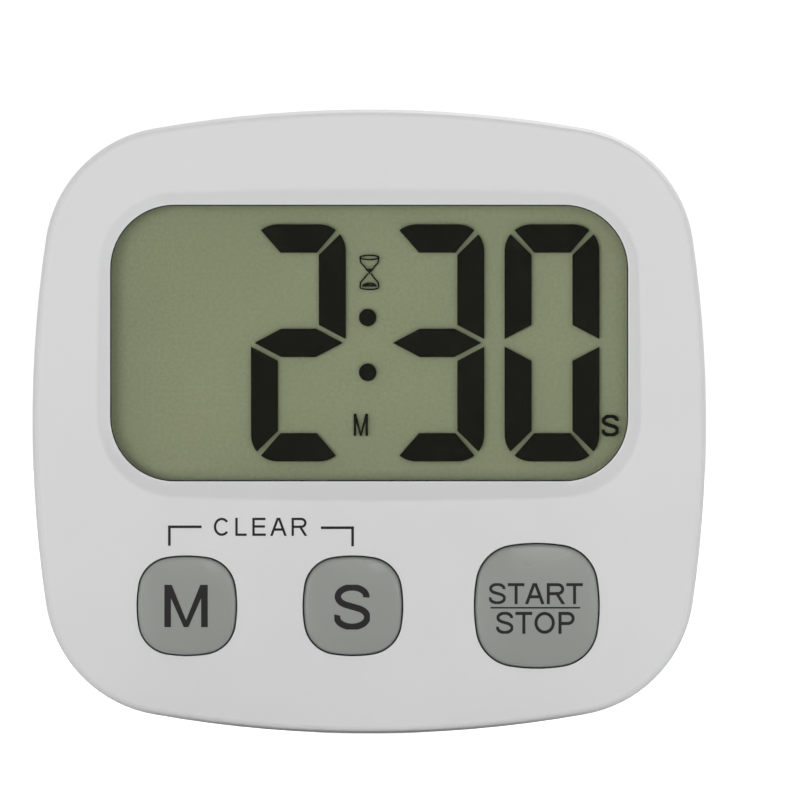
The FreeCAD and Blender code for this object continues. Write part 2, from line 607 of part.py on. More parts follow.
def back_shell():
    """Back with the battery bay, the stand's recess, screw bosses and a locating tongue."""
    drafted = prism("back_prism", [case_outline("0")], "reveal", BACK, "-side_draft")
    rim = rounded_edges("back_rim", drafted, "back_round", lambda edge: edge.BoundBox.YMin > value(DOOR))
    core = prism("back_core", [case_outline("case_wall")], "0", f"{BACK} - case_wall", "-side_draft")
    hollow = cut("back_hollow", rim, [core])
    tongue_prism = prism("tongue_prism", [case_outline("case_wall / 2 + joint_gap")], "-tongue_depth",
                         "case_wall")
    tongue_core = prism("tongue_core", [case_outline("case_wall")], "-2 * tongue_depth", "2 * case_wall")
    bay = prism("bay_walls", [bay_outline("bay_wall")], BAY_FRONT, f"{BACK} - joint_gap")
    ledge = prism("door_ledge", [bay_outline("door_border + door_gap + bay_wall")], LEDGE,
                  f"{BACK} - joint_gap")
    recess = prism("recess_walls", [recess_outline("recess_wall")], RECESS_FRONT, f"{BACK} - joint_gap")
    seat = prism("buzzer_seat_ring", [disc("0", "buzzer_place", "buzzer_radius")],
                 f"{RECESS_FRONT} - buzzer_seat", RECESS_FRONT)
    boss_top = f"{BACK} - case_wall / 2"
    room_prism = prism("boss_room_prism", [case_outline("case_wall / 2")], POST_END, boss_top, "-side_draft")
    boss_prism = prism("boss_prism", discs(CASE_SCREWS, "head_radius + screw_room + boss_wall"), POST_END,
                       boss_top)
    solid = joined("back_solid", [hollow, cut("tongue", tongue_prism, [tongue_core]), bay, ledge, recess, seat,
                                  common("bosses", boss_prism, room_prism)])
    bay_room = prism("bay_room", [bay_outline("0")], BAY_FLOOR, f"{BACK} + door_gap")
    door_room = prism("door_room", [bay_outline("door_border + door_gap")], DOOR, f"{BACK} + door_gap")
    hook_middle = f"-({DOOR_HALF} + (door_gap + hook_reach + hook_room) / 2)"
    hook_half = "(door_border * 2 + door_gap + hook_reach + hook_room) / 2"
    hook_boxes = [box(hook_middle, up, hook_half, "hook_width / 2 + door_gap") for up in HOOKS]
    hook_slots = prism("hook_slots", hook_boxes, f"{DOOR} - hook_wall - hook_room", f"{DOOR} + joint_gap")
    notch = prism("door_notch", [disc(f"{DOOR_HALF} + door_gap", "cell_place", "notch_radius")],
                  f"{BACK} - notch_depth", f"{BACK} + door_gap")
    tab_box = box("0", "cell_place", f"{BAY_HALF} + 2 * bay_wall", "tab_width / 2 + joint_gap")
    tabs = prism("tab_slots", [tab_box], f"{TAB} - joint_gap", f"{TAB} + contact_sheet + joint_gap")
    stand_room = prism("stand_room", [recess_outline("0")], RECESS, f"{BACK} + door_gap")
    pins = along_x("pin_holes", "pin_radius + pin_gap", "stand_width + 2 * (pin_length + 2 * stand_gap)",
                   "-stand_width / 2 - pin_length - 2 * stand_gap", STAND_AXIS, "stand_pivot")
    seat_core = prism("buzzer_seat_core", [disc("0", "buzzer_place", "buzzer_radius - 2 * bay_wall")],
                      f"{RECESS_FRONT} - 2 * buzzer_seat", RECESS_FRONT)
    sound = prism("sound_holes", discs(sound_holes(), "sound_radius"), f"{RECESS_FRONT} - buzzer_seat",
                  f"{RECESS} + case_wall")
    shanks = prism("shank_holes", discs(CASE_SCREWS, "screw_radius + screw_room"), "0", BACK)
    heads = prism("head_holes", discs(CASE_SCREWS, "head_radius + screw_room"), HEAD, f"{BACK} + door_gap")
    tools = [bay_room, door_room, hook_slots, notch, tabs, stand_room, pins, seat_core, sound, shanks, heads]
    sub_part(cut("back_shell_solid", solid, tools), "back_shell")


def screws(name, places, seat, radius, length, head, rise):
    """Cross-head screws as one group: a shank and a pan head at each place."""
    shanks = prism(f"{name}_shanks", discs(places, radius), f"{seat} - {length}", seat)
    heads = prism(f"{name}_heads", discs(places, head), seat, f"{seat} + {rise}")
    crosses = [box(across, up, f"{head} * drive_share", "drive_width / 2") for across, up in places]
    uprights = [box(across, up, "drive_width / 2", f"{head} * drive_share") for across, up in places]
    top = f"{seat} + {rise}"
    flat = prism(f"{name}_drive_across", crosses, f"{top} - drive_depth", f"{top} + joint_gap")
    tall = prism(f"{name}_drive_up", uprights, f"{top} - drive_depth", f"{top} + joint_gap")
    sub_part(cut(f"{name}_solid", joined(f"{name}_blanks", [shanks, heads]), [flat, tall]), name)


# --- the window and the display ---

GLASS_PLACE = "(window_place + (glass_border - glass_drop) / 2)"
GLASS_RISE = "((window_height + glass_border + glass_drop) / 2)"
REAR_PLACE = "(window_place + (glass_border - glass_drop + glass_ledge) / 2)"
REAR_RISE = "((window_height + glass_border + glass_drop - glass_ledge) / 2)"
GLASS_HALF = "(window_width / 2 + glass_border)"


def glass_outline(border):
    """The front glass, let out by a border."""
    return box("0", GLASS_PLACE, f"{GLASS_HALF} + {border}", f"{GLASS_RISE} + {border}")


def rear_outline(border):
    """The rear glass, let out by a border."""
    return box("0", REAR_PLACE, f"{GLASS_HALF} + {border}", f"{REAR_RISE} + {border}")


def window():
    """The clear lens and the adhesive ring that holds it behind the lip."""
    sub_part(prism("lens_body", [window_outline("lens_border")], LENS, LENS_BACK), "display_window")
    ring = prism("tape_sheet_body", [window_outline("lens_border")], LIP_BACK, LENS)
    inside = prism("tape_inside", [window_outline("(lens_border - tape_width)")], LIP, GLASS)
    sub_part(cut("tape_ring", ring, [inside]), "window_tape")


def display():
    """The display's layers from front to back, its frame and the strip that feeds it."""
    sub_part(prism("polariser", [rear_outline("(-small_gap)")], POLARISER, GLASS), "front_polariser")
    sub_part(prism("glass", [glass_outline("0")], GLASS, GLASS_BACK), "front_glass")
    seal = prism("seal_outer", [rear_outline("(-small_gap)")], GLASS_BACK, REAR_GLASS)
    seal_inside = prism("seal_inside", [rear_outline("(-small_gap - seal_width)")], GLASS, REFLECTOR)
    sub_part(cut("seal_ring", seal, [seal_inside]), "glass_seal")
    sub_part(prism("rear", [rear_outline("0")], REAR_GLASS, REFLECTOR), "rear_glass")
    sub_part(prism("mirror_sheet", [rear_outline("(-small_gap)")], REFLECTOR, REFLECTOR_BACK), "reflector")
    frame = prism("frame_outer", [glass_outline("(small_gap + frame_wall)")], POLARISER, BOARD)
    frame_inside = prism("frame_inside", [glass_outline("small_gap")], LENS, BOARD_BACK)
    sub_part(cut("frame_ring", frame, [frame_inside]), "display_frame")
    strip_place = "window_place - window_height / 2 - glass_drop + 2 * small_gap + strip_width / 2"
    strip = prism("strip_body", [box("0", strip_place, f"{GLASS_HALF} - 2 * frame_wall", "strip_width / 2")],
                  GLASS_BACK, BOARD)
    sub_part(strip, "contact_strip")


# --- the circuit board and what stands on it ---

CHIP_COLUMN = ("column_height - chip_pitch", "column_height", "column_height + chip_pitch")
RESISTORS = [("-column_place", up) for up in CHIP_COLUMN]
RESISTORS += [("column_place - chip_pitch", "row_height"), ("column_place + chip_pitch", "row_height")]
CAPACITORS = [("column_place", up) for up in CHIP_COLUMN]
BUZZER_PADS = [("-buzzer_pad_place", "buzzer_pad_height"),
               ("-buzzer_pad_place", "buzzer_pad_height + buzzer_pad_pitch")]


def circuit_board():
    """The board, notched round the case posts and drilled for its own screws."""
    middle = "(board_foot + board_top) / 2"
    blank = prism("board_blank", [rounded("0", middle, "board_width / 2", "(board_top - board_foot) / 2",
                                          "board_corner")], BOARD, BOARD_BACK)
    notches = prism("board_notches", discs(LOW_SCREWS, "post_radius + 2 * small_gap"), MAT,
                    f"{BOARD_BACK} + board_gap")
    holes = prism("board_holes", discs(BOARD_SCREWS, "board_screw_radius + joint_gap"), MAT,
                  f"{BOARD_BACK} + board_gap")
    sub_part(cut("board_solid", blank, [notches, holes]), "circuit_board")


def components():
    """The moulded chip cover, clock crystal, chip resistors and chip capacitors."""
    bulge = "(blob_radius ^ 2 + blob_rise ^ 2) / (2 * blob_rise)"
    ball = doc.addObject("Part::Sphere", "blob_ball")
    bind(ball, "Radius", bulge)
    bind(ball, "Placement.Base.x", "blob_place")
    bind(ball, "Placement.Base.y", f"{BOARD_BACK} + blob_rise - {bulge}")
    bind(ball, "Placement.Base.z", "blob_height")
    slab = prism("blob_slab", [disc("blob_place", "blob_height", "blob_radius + joint_gap")], BOARD_BACK,
                 f"{BOARD_BACK} + 2 * blob_rise")
    sub_part(common("blob_solid", ball, slab), "chip_cover")
    sub_part(along_x("crystal_solid", "crystal_radius", "crystal_length", "crystal_place",
                     f"{BOARD_BACK} + crystal_radius", "crystal_height"), "clock_crystal")
    for label, places, rise in (("chip_resistors", RESISTORS, "resistor_rise"),
                                ("chip_capacitors", CAPACITORS, "capacitor_rise")):
        outlines = [box(x, z, "chip_length / 2", "chip_width / 2") for x, z in places]
        sub_part(prism(f"{label}_body", outlines, BOARD_BACK, f"{BOARD_BACK} + {rise}"), label)


BEND_SHARE = 0.45
VOLUME_MARGIN = 0.02


def tube(points, radius):
    """A round lead along straight runs joined by tangent arcs, checked by its volume."""
    edges = []
    start = points[0]
    for before, corner, after in zip(points, points[1:], points[2:]):
        arriving = (corner - before).normalize()
        leaving = (after - corner).normalize()
        half_turn = arriving.getAngle(leaving) / 2
        trim = BEND_SHARE * min((corner - before).Length, (after - corner).Length)
        bend = trim / tan(half_turn)
        first, last = corner - arriving * trim, corner + leaving * trim
        inward = (leaving - arriving).normalize()
        middle = corner + inward * (bend / cos(half_turn) - bend)
        edges.append(Part.LineSegment(start, first).toShape())
        edges.append(Part.Arc(first, middle, last).toShape())
        start = last
    edges.append(Part.LineSegment(start, points[-1]).toShape())
    path = Part.Wire(edges)
    section = Part.Wire(Part.makeCircle(radius, points[0], points[1] - points[0]))
    lead = path.makePipeShell([section], True, False)
    expected = pi * radius ** 2 * path.Length
    if abs(lead.Volume - expected) > VOLUME_MARGIN * expected:
        raise ValueError("a lead's volume is not its section times its length")
    return lead


def feature(name, shape):
    """An object that holds a shape made in code."""
    thing = doc.addObject("Part::Feature", name)
    thing.Shape = shape
    return thing


def place(across, depth, up):
    """A point from three formulas."""
    return Vector(value(across), value(depth), value(up))


def leads():
    """Insulated leads from the battery contacts and the buzzer to the board, with their solder."""
    on_board = f"{BOARD_BACK} + lead_radius"
    under_tab = f"{TAB} - lead_radius"
    for label, side in (("positive", ""), ("negative", "-")):
        tab_place = f"{side}({BAY_HALF} + bay_wall + tab_length - 2 * lead_radius)"
        pad_place = f"{side}lead_place"
        points = [place(tab_place, under_tab, "cell_place"),
                  place(tab_place, under_tab, "(lead_height + 2 * cell_place) / 3"),
                  place(pad_place, on_board, "(2 * lead_height + cell_place) / 3 - lead_radius"),
                  place(pad_place, on_board, "lead_height")]
        sub_part(feature(f"{label}_lead_tube", tube(points, value("lead_radius"))), f"{label}_lead")
    buzzer_face = f"{RECESS_FRONT} - buzzer_seat - buzzer_sheet - ceramic_sheet - lead_radius"
    starts = (("buzzer_lead_place", buzzer_face), ("brass_lead_place", f"{buzzer_face} + ceramic_sheet"))
    tubes = []
    for (start, depth), (pad_x, pad_z) in zip(starts, BUZZER_PADS):
        aside = f"-{start} - buzzer_lead_turn"
        points = [place(f"-{start}", depth, "buzzer_place"),
                  place(aside, depth, "buzzer_place + buzzer_lead_turn"),
                  place(f"{aside} - buzzer_lead_turn", f"{on_board} + board_sheet",
                        f"{pad_z} - 2 * buzzer_pad_pitch"),
                  place(pad_x, on_board, f"{pad_z} - buzzer_lead_turn"), place(pad_x, on_board, pad_z)]
        tubes.append(tube(points, value("lead_radius")))
    sub_part(feature("buzzer_lead_tubes", Part.makeCompound(tubes)), "buzzer_leads")
    pads = [("lead_place", "lead_height"), ("-lead_place", "lead_height"), *BUZZER_PADS]
    caps = [disc(across, up, "solder_radius") for across, up in pads]
    sub_part(prism("solder_caps", caps, BOARD_BACK, f"{BOARD_BACK} + 2 * solder_rise"), "solder_joints")


# --- the buttons ---

def button(label, across, kind):
    """A cap with its flange, its rubber plunger with a carbon pill, and the rubber skirt."""
    cap = prism(f"{label}_cap", [key_outline(across, kind, "key_gap")], FLANGE, FRONT)
    ball = doc.addObject("Part::Sphere", f"{label}_cap_ball")
    bind(ball, "Radius", "cap_dome")
    bind(ball, "Placement.Base.x", across)
    bind(ball, "Placement.Base.y", f"{FRONT} + cap_dome")
    bind(ball, "Placement.Base.z", "key_place")
    crown = rounded_edges(f"{label}_crown", common(f"{label}_domed", cap, ball), "key_round",
                          lambda edge: edge.BoundBox.YMax < value(f"{FRONT} + case_wall / 2"))
    flange = prism(f"{label}_flange", [key_outline(across, kind, "-flange_border")], FLANGE, FLANGE_BACK)
    sub_part(joined(f"{label}_button_solid", [crown, flange]), f"{label}_button")
    pill_front = f"{BOARD} - pill_lift - pill_sheet"
    sub_part(prism(f"{label}_plunger_body", [disc(across, "key_place", "plunger_radius")], FLANGE_BACK,
                   pill_front), f"{label}_plunger")
    sub_part(prism(f"{label}_pill_body", [disc(across, "key_place", "pill_radius")], pill_front,
                   f"{BOARD} - pill_lift"), f"{label}_pill")
    cones = []
    for part_name, inset in (("outer", "0"), ("inner", "skirt_wall")):
        cone = doc.addObject("Part::Cone", f"{label}_skirt_{part_name}")
        cone.Placement = FreeCAD.Placement(Vector(), FreeCAD.Rotation(Vector(1, 0, 0), 90))
        bind(cone, "Radius1", f"skirt_radius - {inset}")
        bind(cone, "Radius2", f"plunger_radius + skirt_gap + skirt_wall - {inset}")
        bind(cone, "Height", f"{MAT} - ({FLANGE_BACK})")
        bind(cone, "Placement.Base.x", across)
        bind(cone, "Placement.Base.y", MAT)
        bind(cone, "Placement.Base.z", "key_place")
        cones.append(cone)
    sub_part(cut(f"{label}_skirt_solid", cones[0], [cones[1]]), f"{label}_skirt")


def keypad_mat():
    """The rubber mat under the buttons, pierced for the pills and notched round the posts."""
    middle = "(minutes_place + start_place) / 2"
    blank = prism("mat_blank", [rounded(middle, "key_place", "mat_width / 2", "mat_height / 2", "mat_corner")],
                  MAT, BOARD)
    domes = [disc(across, "key_place", "skirt_radius - skirt_wall") for name, across, kind in KEYS]
    pills = prism("mat_holes", domes, FLANGE_BACK, BOARD_BACK)
    case_notches = prism("mat_case_notches", discs(LOW_SCREWS, "post_radius + 2 * small_gap"), FLANGE_BACK,
                         BOARD_BACK)
    post_notches = prism("mat_post_notches", discs(INNER_SCREWS, "board_post_radius + 2 * small_gap"),
                         FLANGE_BACK, BOARD_BACK)
    sub_part(cut("mat_solid", blank, [pills, case_notches, post_notches]), "keypad_mat")


# --- the battery and its door ---

CELL_START = f"(-{BAY_HALF} + joint_gap + contact_sheet + spring_length)"


def battery():
    """The cell, the two sprung contacts that feed it and the door over it."""
    can = along_x("cell_can", "cell_diameter / 2", "cell_length - nub_rise", CELL_START, CELL_AXIS,
                  "cell_place")
    nub = along_x("cell_nub", "nub_radius", "nub_rise", f"{CELL_START} + cell_length - nub_rise", CELL_AXIS,
                  "cell_place")
    round_can = rounded_edges("cell_rounded", can, "contact_sheet",
                              lambda edge: edge.Curve.TypeId.endswith("Circle"))
    sub_part(joined("cell_solid", [round_can, nub]), "battery_cell")
    for label, side in (("positive", "1"), ("negative", "-1")):
        plate_place = f"{side} * ({BAY_HALF} - joint_gap - contact_sheet / 2)"
        plate_box = box(plate_place, "cell_place", "contact_sheet / 2", "contact_width / 2")
        plate = prism(f"{label}_plate", [plate_box], f"{BAY_FLOOR} + joint_gap",
                      f"{BAY_FLOOR} + joint_gap + contact_reach")
        tab_place = f"{side} * ({BAY_HALF} + (bay_wall + tab_length - joint_gap - contact_sheet) / 2)"
        tab_half = "(bay_wall + tab_length + joint_gap + contact_sheet) / 2"
        tab = prism(f"{label}_tab", [box(tab_place, "cell_place", tab_half, "tab_width / 2")], TAB,
                    f"{TAB} + contact_sheet")
        pieces = [plate, tab]
        if label == "positive":
            pieces.append(along_x("dimple", "dimple_radius", "dimple_rise + contact_sheet / 2",
                                  f"{CELL_START} + cell_length", CELL_AXIS, "cell_place"))
        sub_part(joined(f"{label}_contact_solid", pieces), f"{label}_contact")
    sub_part(feature("spring_coil", spring()), "negative_spring")


def spring():
    """The negative contact's coil, pressed between its plate and the cell."""
    wire, radius = value("spring_wire"), value("spring_radius")
    rise = value("spring_length") - 2 * wire
    coil = Part.makeHelix(rise / value("spring_turns"), rise, radius)
    section = Part.Wire(Part.makeCircle(wire, Vector(radius, 0, 0), Vector(0, 1, 0)))
    swept = Part.Wire(coil).makePipeShell([section], True, True)
    swept.rotate(Vector(), Vector(0, 1, 0), 90)
    swept.translate(place(f"-{BAY_HALF} + joint_gap + contact_sheet + spring_wire", CELL_AXIS, "cell_place"))
    return swept


def battery_door():
    """The door, flush with the back, with two hooks under the case wall."""
    panel = prism("door_panel", [box("0", "cell_place", DOOR_HALF, DOOR_RISE)], DOOR, BACK)
    reach = "(hook_reach + 2 * door_border)"
    hooks = prism("door_hooks", [box(f"-{DOOR_HALF} - hook_reach + {reach} / 2", up, f"{reach} / 2",
                                     "hook_width / 2") for up in HOOKS], f"{DOOR} - hook_wall", DOOR)
    sub_part(joined("door_solid", [panel, hooks]), "battery_door")


# --- the buzzer, the stand and its magnets ---

def buzzer():
    """A brass disc with its ceramic disc, glued on the ring in the back shell."""
    seat = f"{RECESS_FRONT} - buzzer_seat"
    sub_part(prism("brass_body", [disc("0", "buzzer_place", "buzzer_radius")], f"{seat} - buzzer_sheet", seat),
             "buzzer_disc")
    sub_part(prism("ceramic_body", [disc("0", "buzzer_place", "ceramic_radius")],
                   f"{seat} - buzzer_sheet - ceramic_sheet", f"{seat} - buzzer_sheet"), "buzzer_ceramic")


MAGNETS = [("-magnet_spread / 2", "magnet_place"), ("magnet_spread / 2", "magnet_place")]


def on_stand_foot(edge):
    """True for one of the two upright edges at the stand's foot."""
    return edge.BoundBox.ZMax < value("stand_pivot - stand_length") + CLOSE and edge.BoundBox.XLength < CLOSE


def stand():
    """The flip-out stand on its two pins, with two magnets set flush in its back."""
    low = "stand_pivot - stand_length"
    plate_box = box("0", "stand_pivot - stand_length / 2", "stand_width / 2", "stand_length / 2")
    shaped = rounded_edges("stand_shaped", prism("stand_plate", [plate_box], STAND, BACK), "stand_corner",
                           on_stand_foot)
    barrel = along_x("stand_barrel", "barrel_radius", "stand_width", "-stand_width / 2", STAND_AXIS,
                     "stand_pivot")
    pins = along_x("stand_pins", "pin_radius", "stand_width + 2 * pin_length", "-stand_width / 2 - pin_length",
                   STAND_AXIS, "stand_pivot")
    blank = joined("stand_blank", [shaped, barrel, pins])
    pockets = prism("magnet_pockets", discs(MAGNETS, "magnet_radius + magnet_gap"), f"{BACK} - magnet_sheet",
                    f"{BACK} + door_gap")
    finger = prism("finger_notch", [disc("0", low, "finger_radius")], RECESS, f"{BACK} + door_gap")
    sub_part(cut("stand_solid", blank, [pockets, finger]), "stand")
    sub_part(prism("magnet_body", discs(MAGNETS, "magnet_radius"), f"{BACK} - magnet_sheet", BACK), "magnets")


front_shell()
back_shell()
screws("case_screws", CASE_SCREWS, HEAD, "screw_radius", "screw_length", "head_radius", "head_rise")
window()
display()
circuit_board()
components()
screws("board_screws", BOARD_SCREWS, BOARD_BACK, "board_screw_radius", "board_screw_length",
       "board_head_radius", "board_head_rise")
for key_name, key_across, key_kind in KEYS:
    button(key_name, key_across, key_kind)
keypad_mat()
battery()
battery_door()
leads()
buzzer()
stand()

doc.recompute()
for thing in doc.Objects:
    if "Invalid" in thing.State or "Error" in thing.State:
        raise RuntimeError(f"{thing.Label} did not build")
for thing in SUB_PARTS:
    if thing.Shape.isNull() or not thing.Shape.isValid() or not thing.Shape.Solids:
        raise RuntimeError(f"{thing.Label} has no sound solid")
os.makedirs("parts", exist_ok=True)
for thing in SUB_PARTS:
    thing.Shape.exportStep(f"parts/{thing.Label}.step")
    print(thing.Label, len(thing.Shape.Solids), round(thing.Shape.Volume, 2))
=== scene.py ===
"""A digital kitchen timer, dressed piece by piece in the order it is put together."""
from math import cos, radians, sin

import bmesh
import bpy
from mathutils import Matrix, Vector


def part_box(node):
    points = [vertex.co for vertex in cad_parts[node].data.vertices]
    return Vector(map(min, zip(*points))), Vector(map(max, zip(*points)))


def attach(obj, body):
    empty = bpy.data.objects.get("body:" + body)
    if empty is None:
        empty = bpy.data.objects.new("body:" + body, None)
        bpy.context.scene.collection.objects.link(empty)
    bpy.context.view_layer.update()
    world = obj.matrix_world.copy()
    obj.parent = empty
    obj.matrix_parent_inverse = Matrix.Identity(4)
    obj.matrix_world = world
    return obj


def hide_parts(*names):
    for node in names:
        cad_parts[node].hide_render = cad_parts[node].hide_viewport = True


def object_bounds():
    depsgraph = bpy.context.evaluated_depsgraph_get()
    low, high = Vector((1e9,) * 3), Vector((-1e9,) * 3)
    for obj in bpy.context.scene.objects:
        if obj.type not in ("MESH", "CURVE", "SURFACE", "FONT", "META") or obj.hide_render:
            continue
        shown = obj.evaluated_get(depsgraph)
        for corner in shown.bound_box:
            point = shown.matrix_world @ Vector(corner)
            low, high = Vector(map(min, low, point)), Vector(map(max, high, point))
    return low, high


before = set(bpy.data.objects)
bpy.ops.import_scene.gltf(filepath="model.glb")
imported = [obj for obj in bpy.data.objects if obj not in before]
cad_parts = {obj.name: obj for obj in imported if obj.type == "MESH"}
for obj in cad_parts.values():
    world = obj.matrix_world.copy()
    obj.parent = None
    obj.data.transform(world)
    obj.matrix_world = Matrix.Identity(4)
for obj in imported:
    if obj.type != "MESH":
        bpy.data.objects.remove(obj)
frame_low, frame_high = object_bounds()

# --- front shell ---
# The domed front of the case, moulded in one shot in white ABS with a fine satin grain.
# Its posts take the case screws and the board screws, and a lip round the window backs the lens.
MM = 0.001
WELD = 0.001 * MM
SHEEN_BELOW, SHEEN_ABOVE = 0.04, 0.05
scene = bpy.context.scene


def grain_group():
    """Two sizes of surface variation that most of the timer's materials share."""
    group = bpy.data.node_groups.new("surface_grain", "ShaderNodeTree")
    for name, default in (("Grain Scale", 5000.0), ("Cloud Scale", 60.0)):
        socket = group.interface.new_socket(name=name, in_out="INPUT", socket_type="NodeSocketFloat")
        socket.default_value = default
    for name in ("Grain", "Cloud"):
        group.interface.new_socket(name=name, in_out="OUTPUT", socket_type="NodeSocketFloat")
    nodes, links = group.nodes, group.links
    entry = nodes.new("NodeGroupInput")
    leaving = nodes.new("NodeGroupOutput")
    place = nodes.new("ShaderNodeTexCoord")
    for scale_name, out_name, detail in (("Grain Scale", "Grain", 2.0), ("Cloud Scale", "Cloud", 3.0)):
        noise = nodes.new("ShaderNodeTexNoise")
        noise.inputs["Detail"].default_value = detail
        links.new(place.outputs["Object"], noise.inputs["Vector"])
        links.new(entry.outputs[scale_name], noise.inputs["Scale"])
        links.new(noise.outputs["Fac"], leaving.inputs[out_name])
    return group


surface_grain = grain_group()


def material_parts(name):
    """A new node material with its Principled shader and a placed grain group."""
    material = bpy.data.materials.new(name)
    material.use_nodes = True
    nodes, links = material.node_tree.nodes, material.node_tree.links
    shader = nodes["Principled BSDF"]
    grain = nodes.new("ShaderNodeGroup")
    grain.node_tree = surface_grain
    return material, nodes, links, shader, grain


def colour_between(nodes, links, source, first, second, low=0.35, high=0.65):
    """Two colours mixed by a varying value, stretched between low and high."""
    ramp = nodes.new("ShaderNodeValToRGB")
    ramp.color_ramp.elements[0].position = low
    ramp.color_ramp.elements[0].color = (*first, 1)
    ramp.color_ramp.elements[1].position = high
    ramp.color_ramp.elements[1].color = (*second, 1)
    links.new(source, ramp.inputs["Fac"])
    return ramp.outputs["Color"]


def value_between(nodes, links, source, first, second):
    """A number that varies between two ends with a varying value."""
    stretch = nodes.new("ShaderNodeMapRange")
    stretch.inputs["From Min"].default_value = 0.3
    stretch.inputs["From Max"].default_value = 0.7
    stretch.inputs["To Min"].default_value = first
    stretch.inputs["To Max"].default_value = second
    links.new(source, stretch.inputs["Value"])
    return stretch.outputs["Result"]


def moulded(name, first, second, roughness, grain_scale, bump_mm, metallic=0.0, coat=0.0):
    """A finish with a slightly clouded colour, an uneven sheen and a fine grain."""
    material, nodes, links, shader, grain = material_parts(name)
    grain.inputs["Grain Scale"].default_value = grain_scale
    tint = colour_between(nodes, links, grain.outputs["Cloud"], first, second)
    links.new(tint, shader.inputs["Base Color"])
    sheen = value_between(nodes, links, grain.outputs["Cloud"],
                          roughness - SHEEN_BELOW, roughness + SHEEN_ABOVE)
    links.new(sheen, shader.inputs["Roughness"])
    bump = nodes.new("ShaderNodeBump")
    bump.inputs["Strength"].default_value = 1.0
    bump.inputs["Distance"].default_value = bump_mm * MM
    links.new(grain.outputs["Grain"], bump.inputs["Height"])
    links.new(bump.outputs["Normal"], shader.inputs["Normal"])
    shader.inputs["Metallic"].default_value = metallic
    shader.inputs["Coat Weight"].default_value = coat
    return material


def finished_copy(node, body, material, sharp=28):
    """One smooth-shaded skin in the exact shape of a CAD node, which it stands for."""
    skin = bmesh.new()
    skin.from_mesh(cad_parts[node].data)
    bmesh.ops.remove_doubles(skin, verts=skin.verts, dist=WELD)
    mesh = bpy.data.meshes.new(f"{node}_skin")
    skin.to_mesh(mesh)
    skin.free()
    mesh.materials.clear()
    mesh.materials.append(material)
    mesh.shade_smooth()
    mesh.set_sharp_from_angle(angle=radians(sharp))
    piece = bpy.data.objects.new(f"{node}_skin", mesh)
    scene.collection.objects.link(piece)
    even = piece.modifiers.new("even_normals", "WEIGHTED_NORMAL")
    even.keep_sharp = True
    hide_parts(node)
    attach(piece, body)
    return piece


def dress(node, material):
    """Give a CAD node that keeps its own mesh a finish."""
    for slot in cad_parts[node].material_slots:
        slot.material = material


white_abs = moulded("white_abs", (0.70, 0.70, 0.705), (0.72, 0.72, 0.725), 0.42, 4200.0, 0.004)
finished_copy("front_shell", "case", white_abs)

# --- print on the face ---
# The word that links the two small buttons, with a bracket on each side: black ink,
# pad-printed straight on the domed face after the shell is moulded.
CASE_MIDDLE = (frame_low.z + frame_high.z) / 2
DOME_RADIUS = 900 * MM
INK = 0.02 * MM
BEND_STEP = 0.7 * MM
BEND_LINES = 35
FACE = frame_low.y


def printing_ink(name, colour):
    """Thin, slightly uneven black ink."""
    return moulded(name, colour, tuple(1.15 * part for part in colour), 0.45, 9000.0, 0.002)


black_ink = printing_ink("black_ink", (0.019, 0.017, 0.017))
black_ink.node_tree.nodes["Principled BSDF"].inputs["Specular IOR Level"].default_value = 0.15


def finish_piece(name, shape, material, body):
    """Turn a bmesh into a piece that rides on a body and takes its finish from a slot."""
    bmesh.ops.recalc_face_normals(shape, faces=shape.faces)
    mesh = bpy.data.meshes.new(name)
    shape.to_mesh(mesh)
    shape.free()
    mesh.materials.append(material)
    piece = bpy.data.objects.new(name, mesh)
    scene.collection.objects.link(piece)
    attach(piece, body)
    return piece


STEM = 0.145
STROKE_STEP = 0.002
LETTER_SPACES = {
    "A": (0.93, 0.00, 0.00), "C": (0.88, 0.07, 0.06), "E": (0.75, 0.11, 0.08), "L": (0.63, 0.10, 0.05),
    "M": (0.95, 0.10, 0.10), "O": (0.96, 0.07, 0.06), "P": (0.76, 0.11, 0.06), "R": (0.88, 0.11, 0.02),
    "S": (0.80, 0.06, 0.07), "T": (0.79, 0.03, 0.03),
}


def oval(centre_x, centre_z, half_wide, half_tall, first=0, last=360, steps=28):
    """Points round part of an oval, from one angle to another in degrees."""
    angles = [radians(first + (last - first) * step / steps) for step in range(steps + 1)]
    return [(centre_x + half_wide * cos(angle), centre_z + half_tall * sin(angle)) for angle in angles]


def letter_lines(letter, stem_wide):
    """The centre lines of a plain capital's strokes, one unit high."""
    wide = LETTER_SPACES[letter][0]
    half = stem_wide / 2
    right, top, middle = wide - half, 1 - half, wide / 2
    stem = [(half, 0), (half, 1)]

    def bowl(low, edge):
        turn = edge - (top - low) * 0.55
        return [(half, top), *oval(turn, (top + low) / 2, edge - turn, (top - low) / 2, 90, -90), (half, low)]

    return {
        "A": [[(0.0, -0.2), (middle, 1.06)], [(wide, -0.2), (middle, 1.06)],
              [(0.2, 0.35), (wide - 0.2, 0.35)]],
        "C": [oval(middle, 0.5, middle - half, top - 0.5, 38, 322)],
        "E": [stem, [(half, top), (wide - 0.02, top)], [(half, 0.52), (wide - 0.05, 0.52)],
              [(half, half), (wide, half)]],
        "L": [stem, [(half, half), (wide, half)]],
        "M": [stem, [(right, 0), (right, 1)], [(0.03, 1.15), (middle, 0.02), (wide - 0.03, 1.15)]],
        "O": [oval(middle, 0.5, middle - half, top - 0.5)],
        "P": [stem, bowl(0.47, right)],
        "R": [stem, bowl(0.50, right - 0.05), [(middle, 0.56), (wide - 0.03, -0.09)]],
        "S": [oval(middle, 0.735, 0.40 * wide, 0.205, -6, 245)
              + oval(middle, 0.275, 0.425 * wide, 0.215, 65, -193)],
        "T": [[(middle, 0), (middle, 1)], [(0, top), (wide, top)]],
    }[letter]


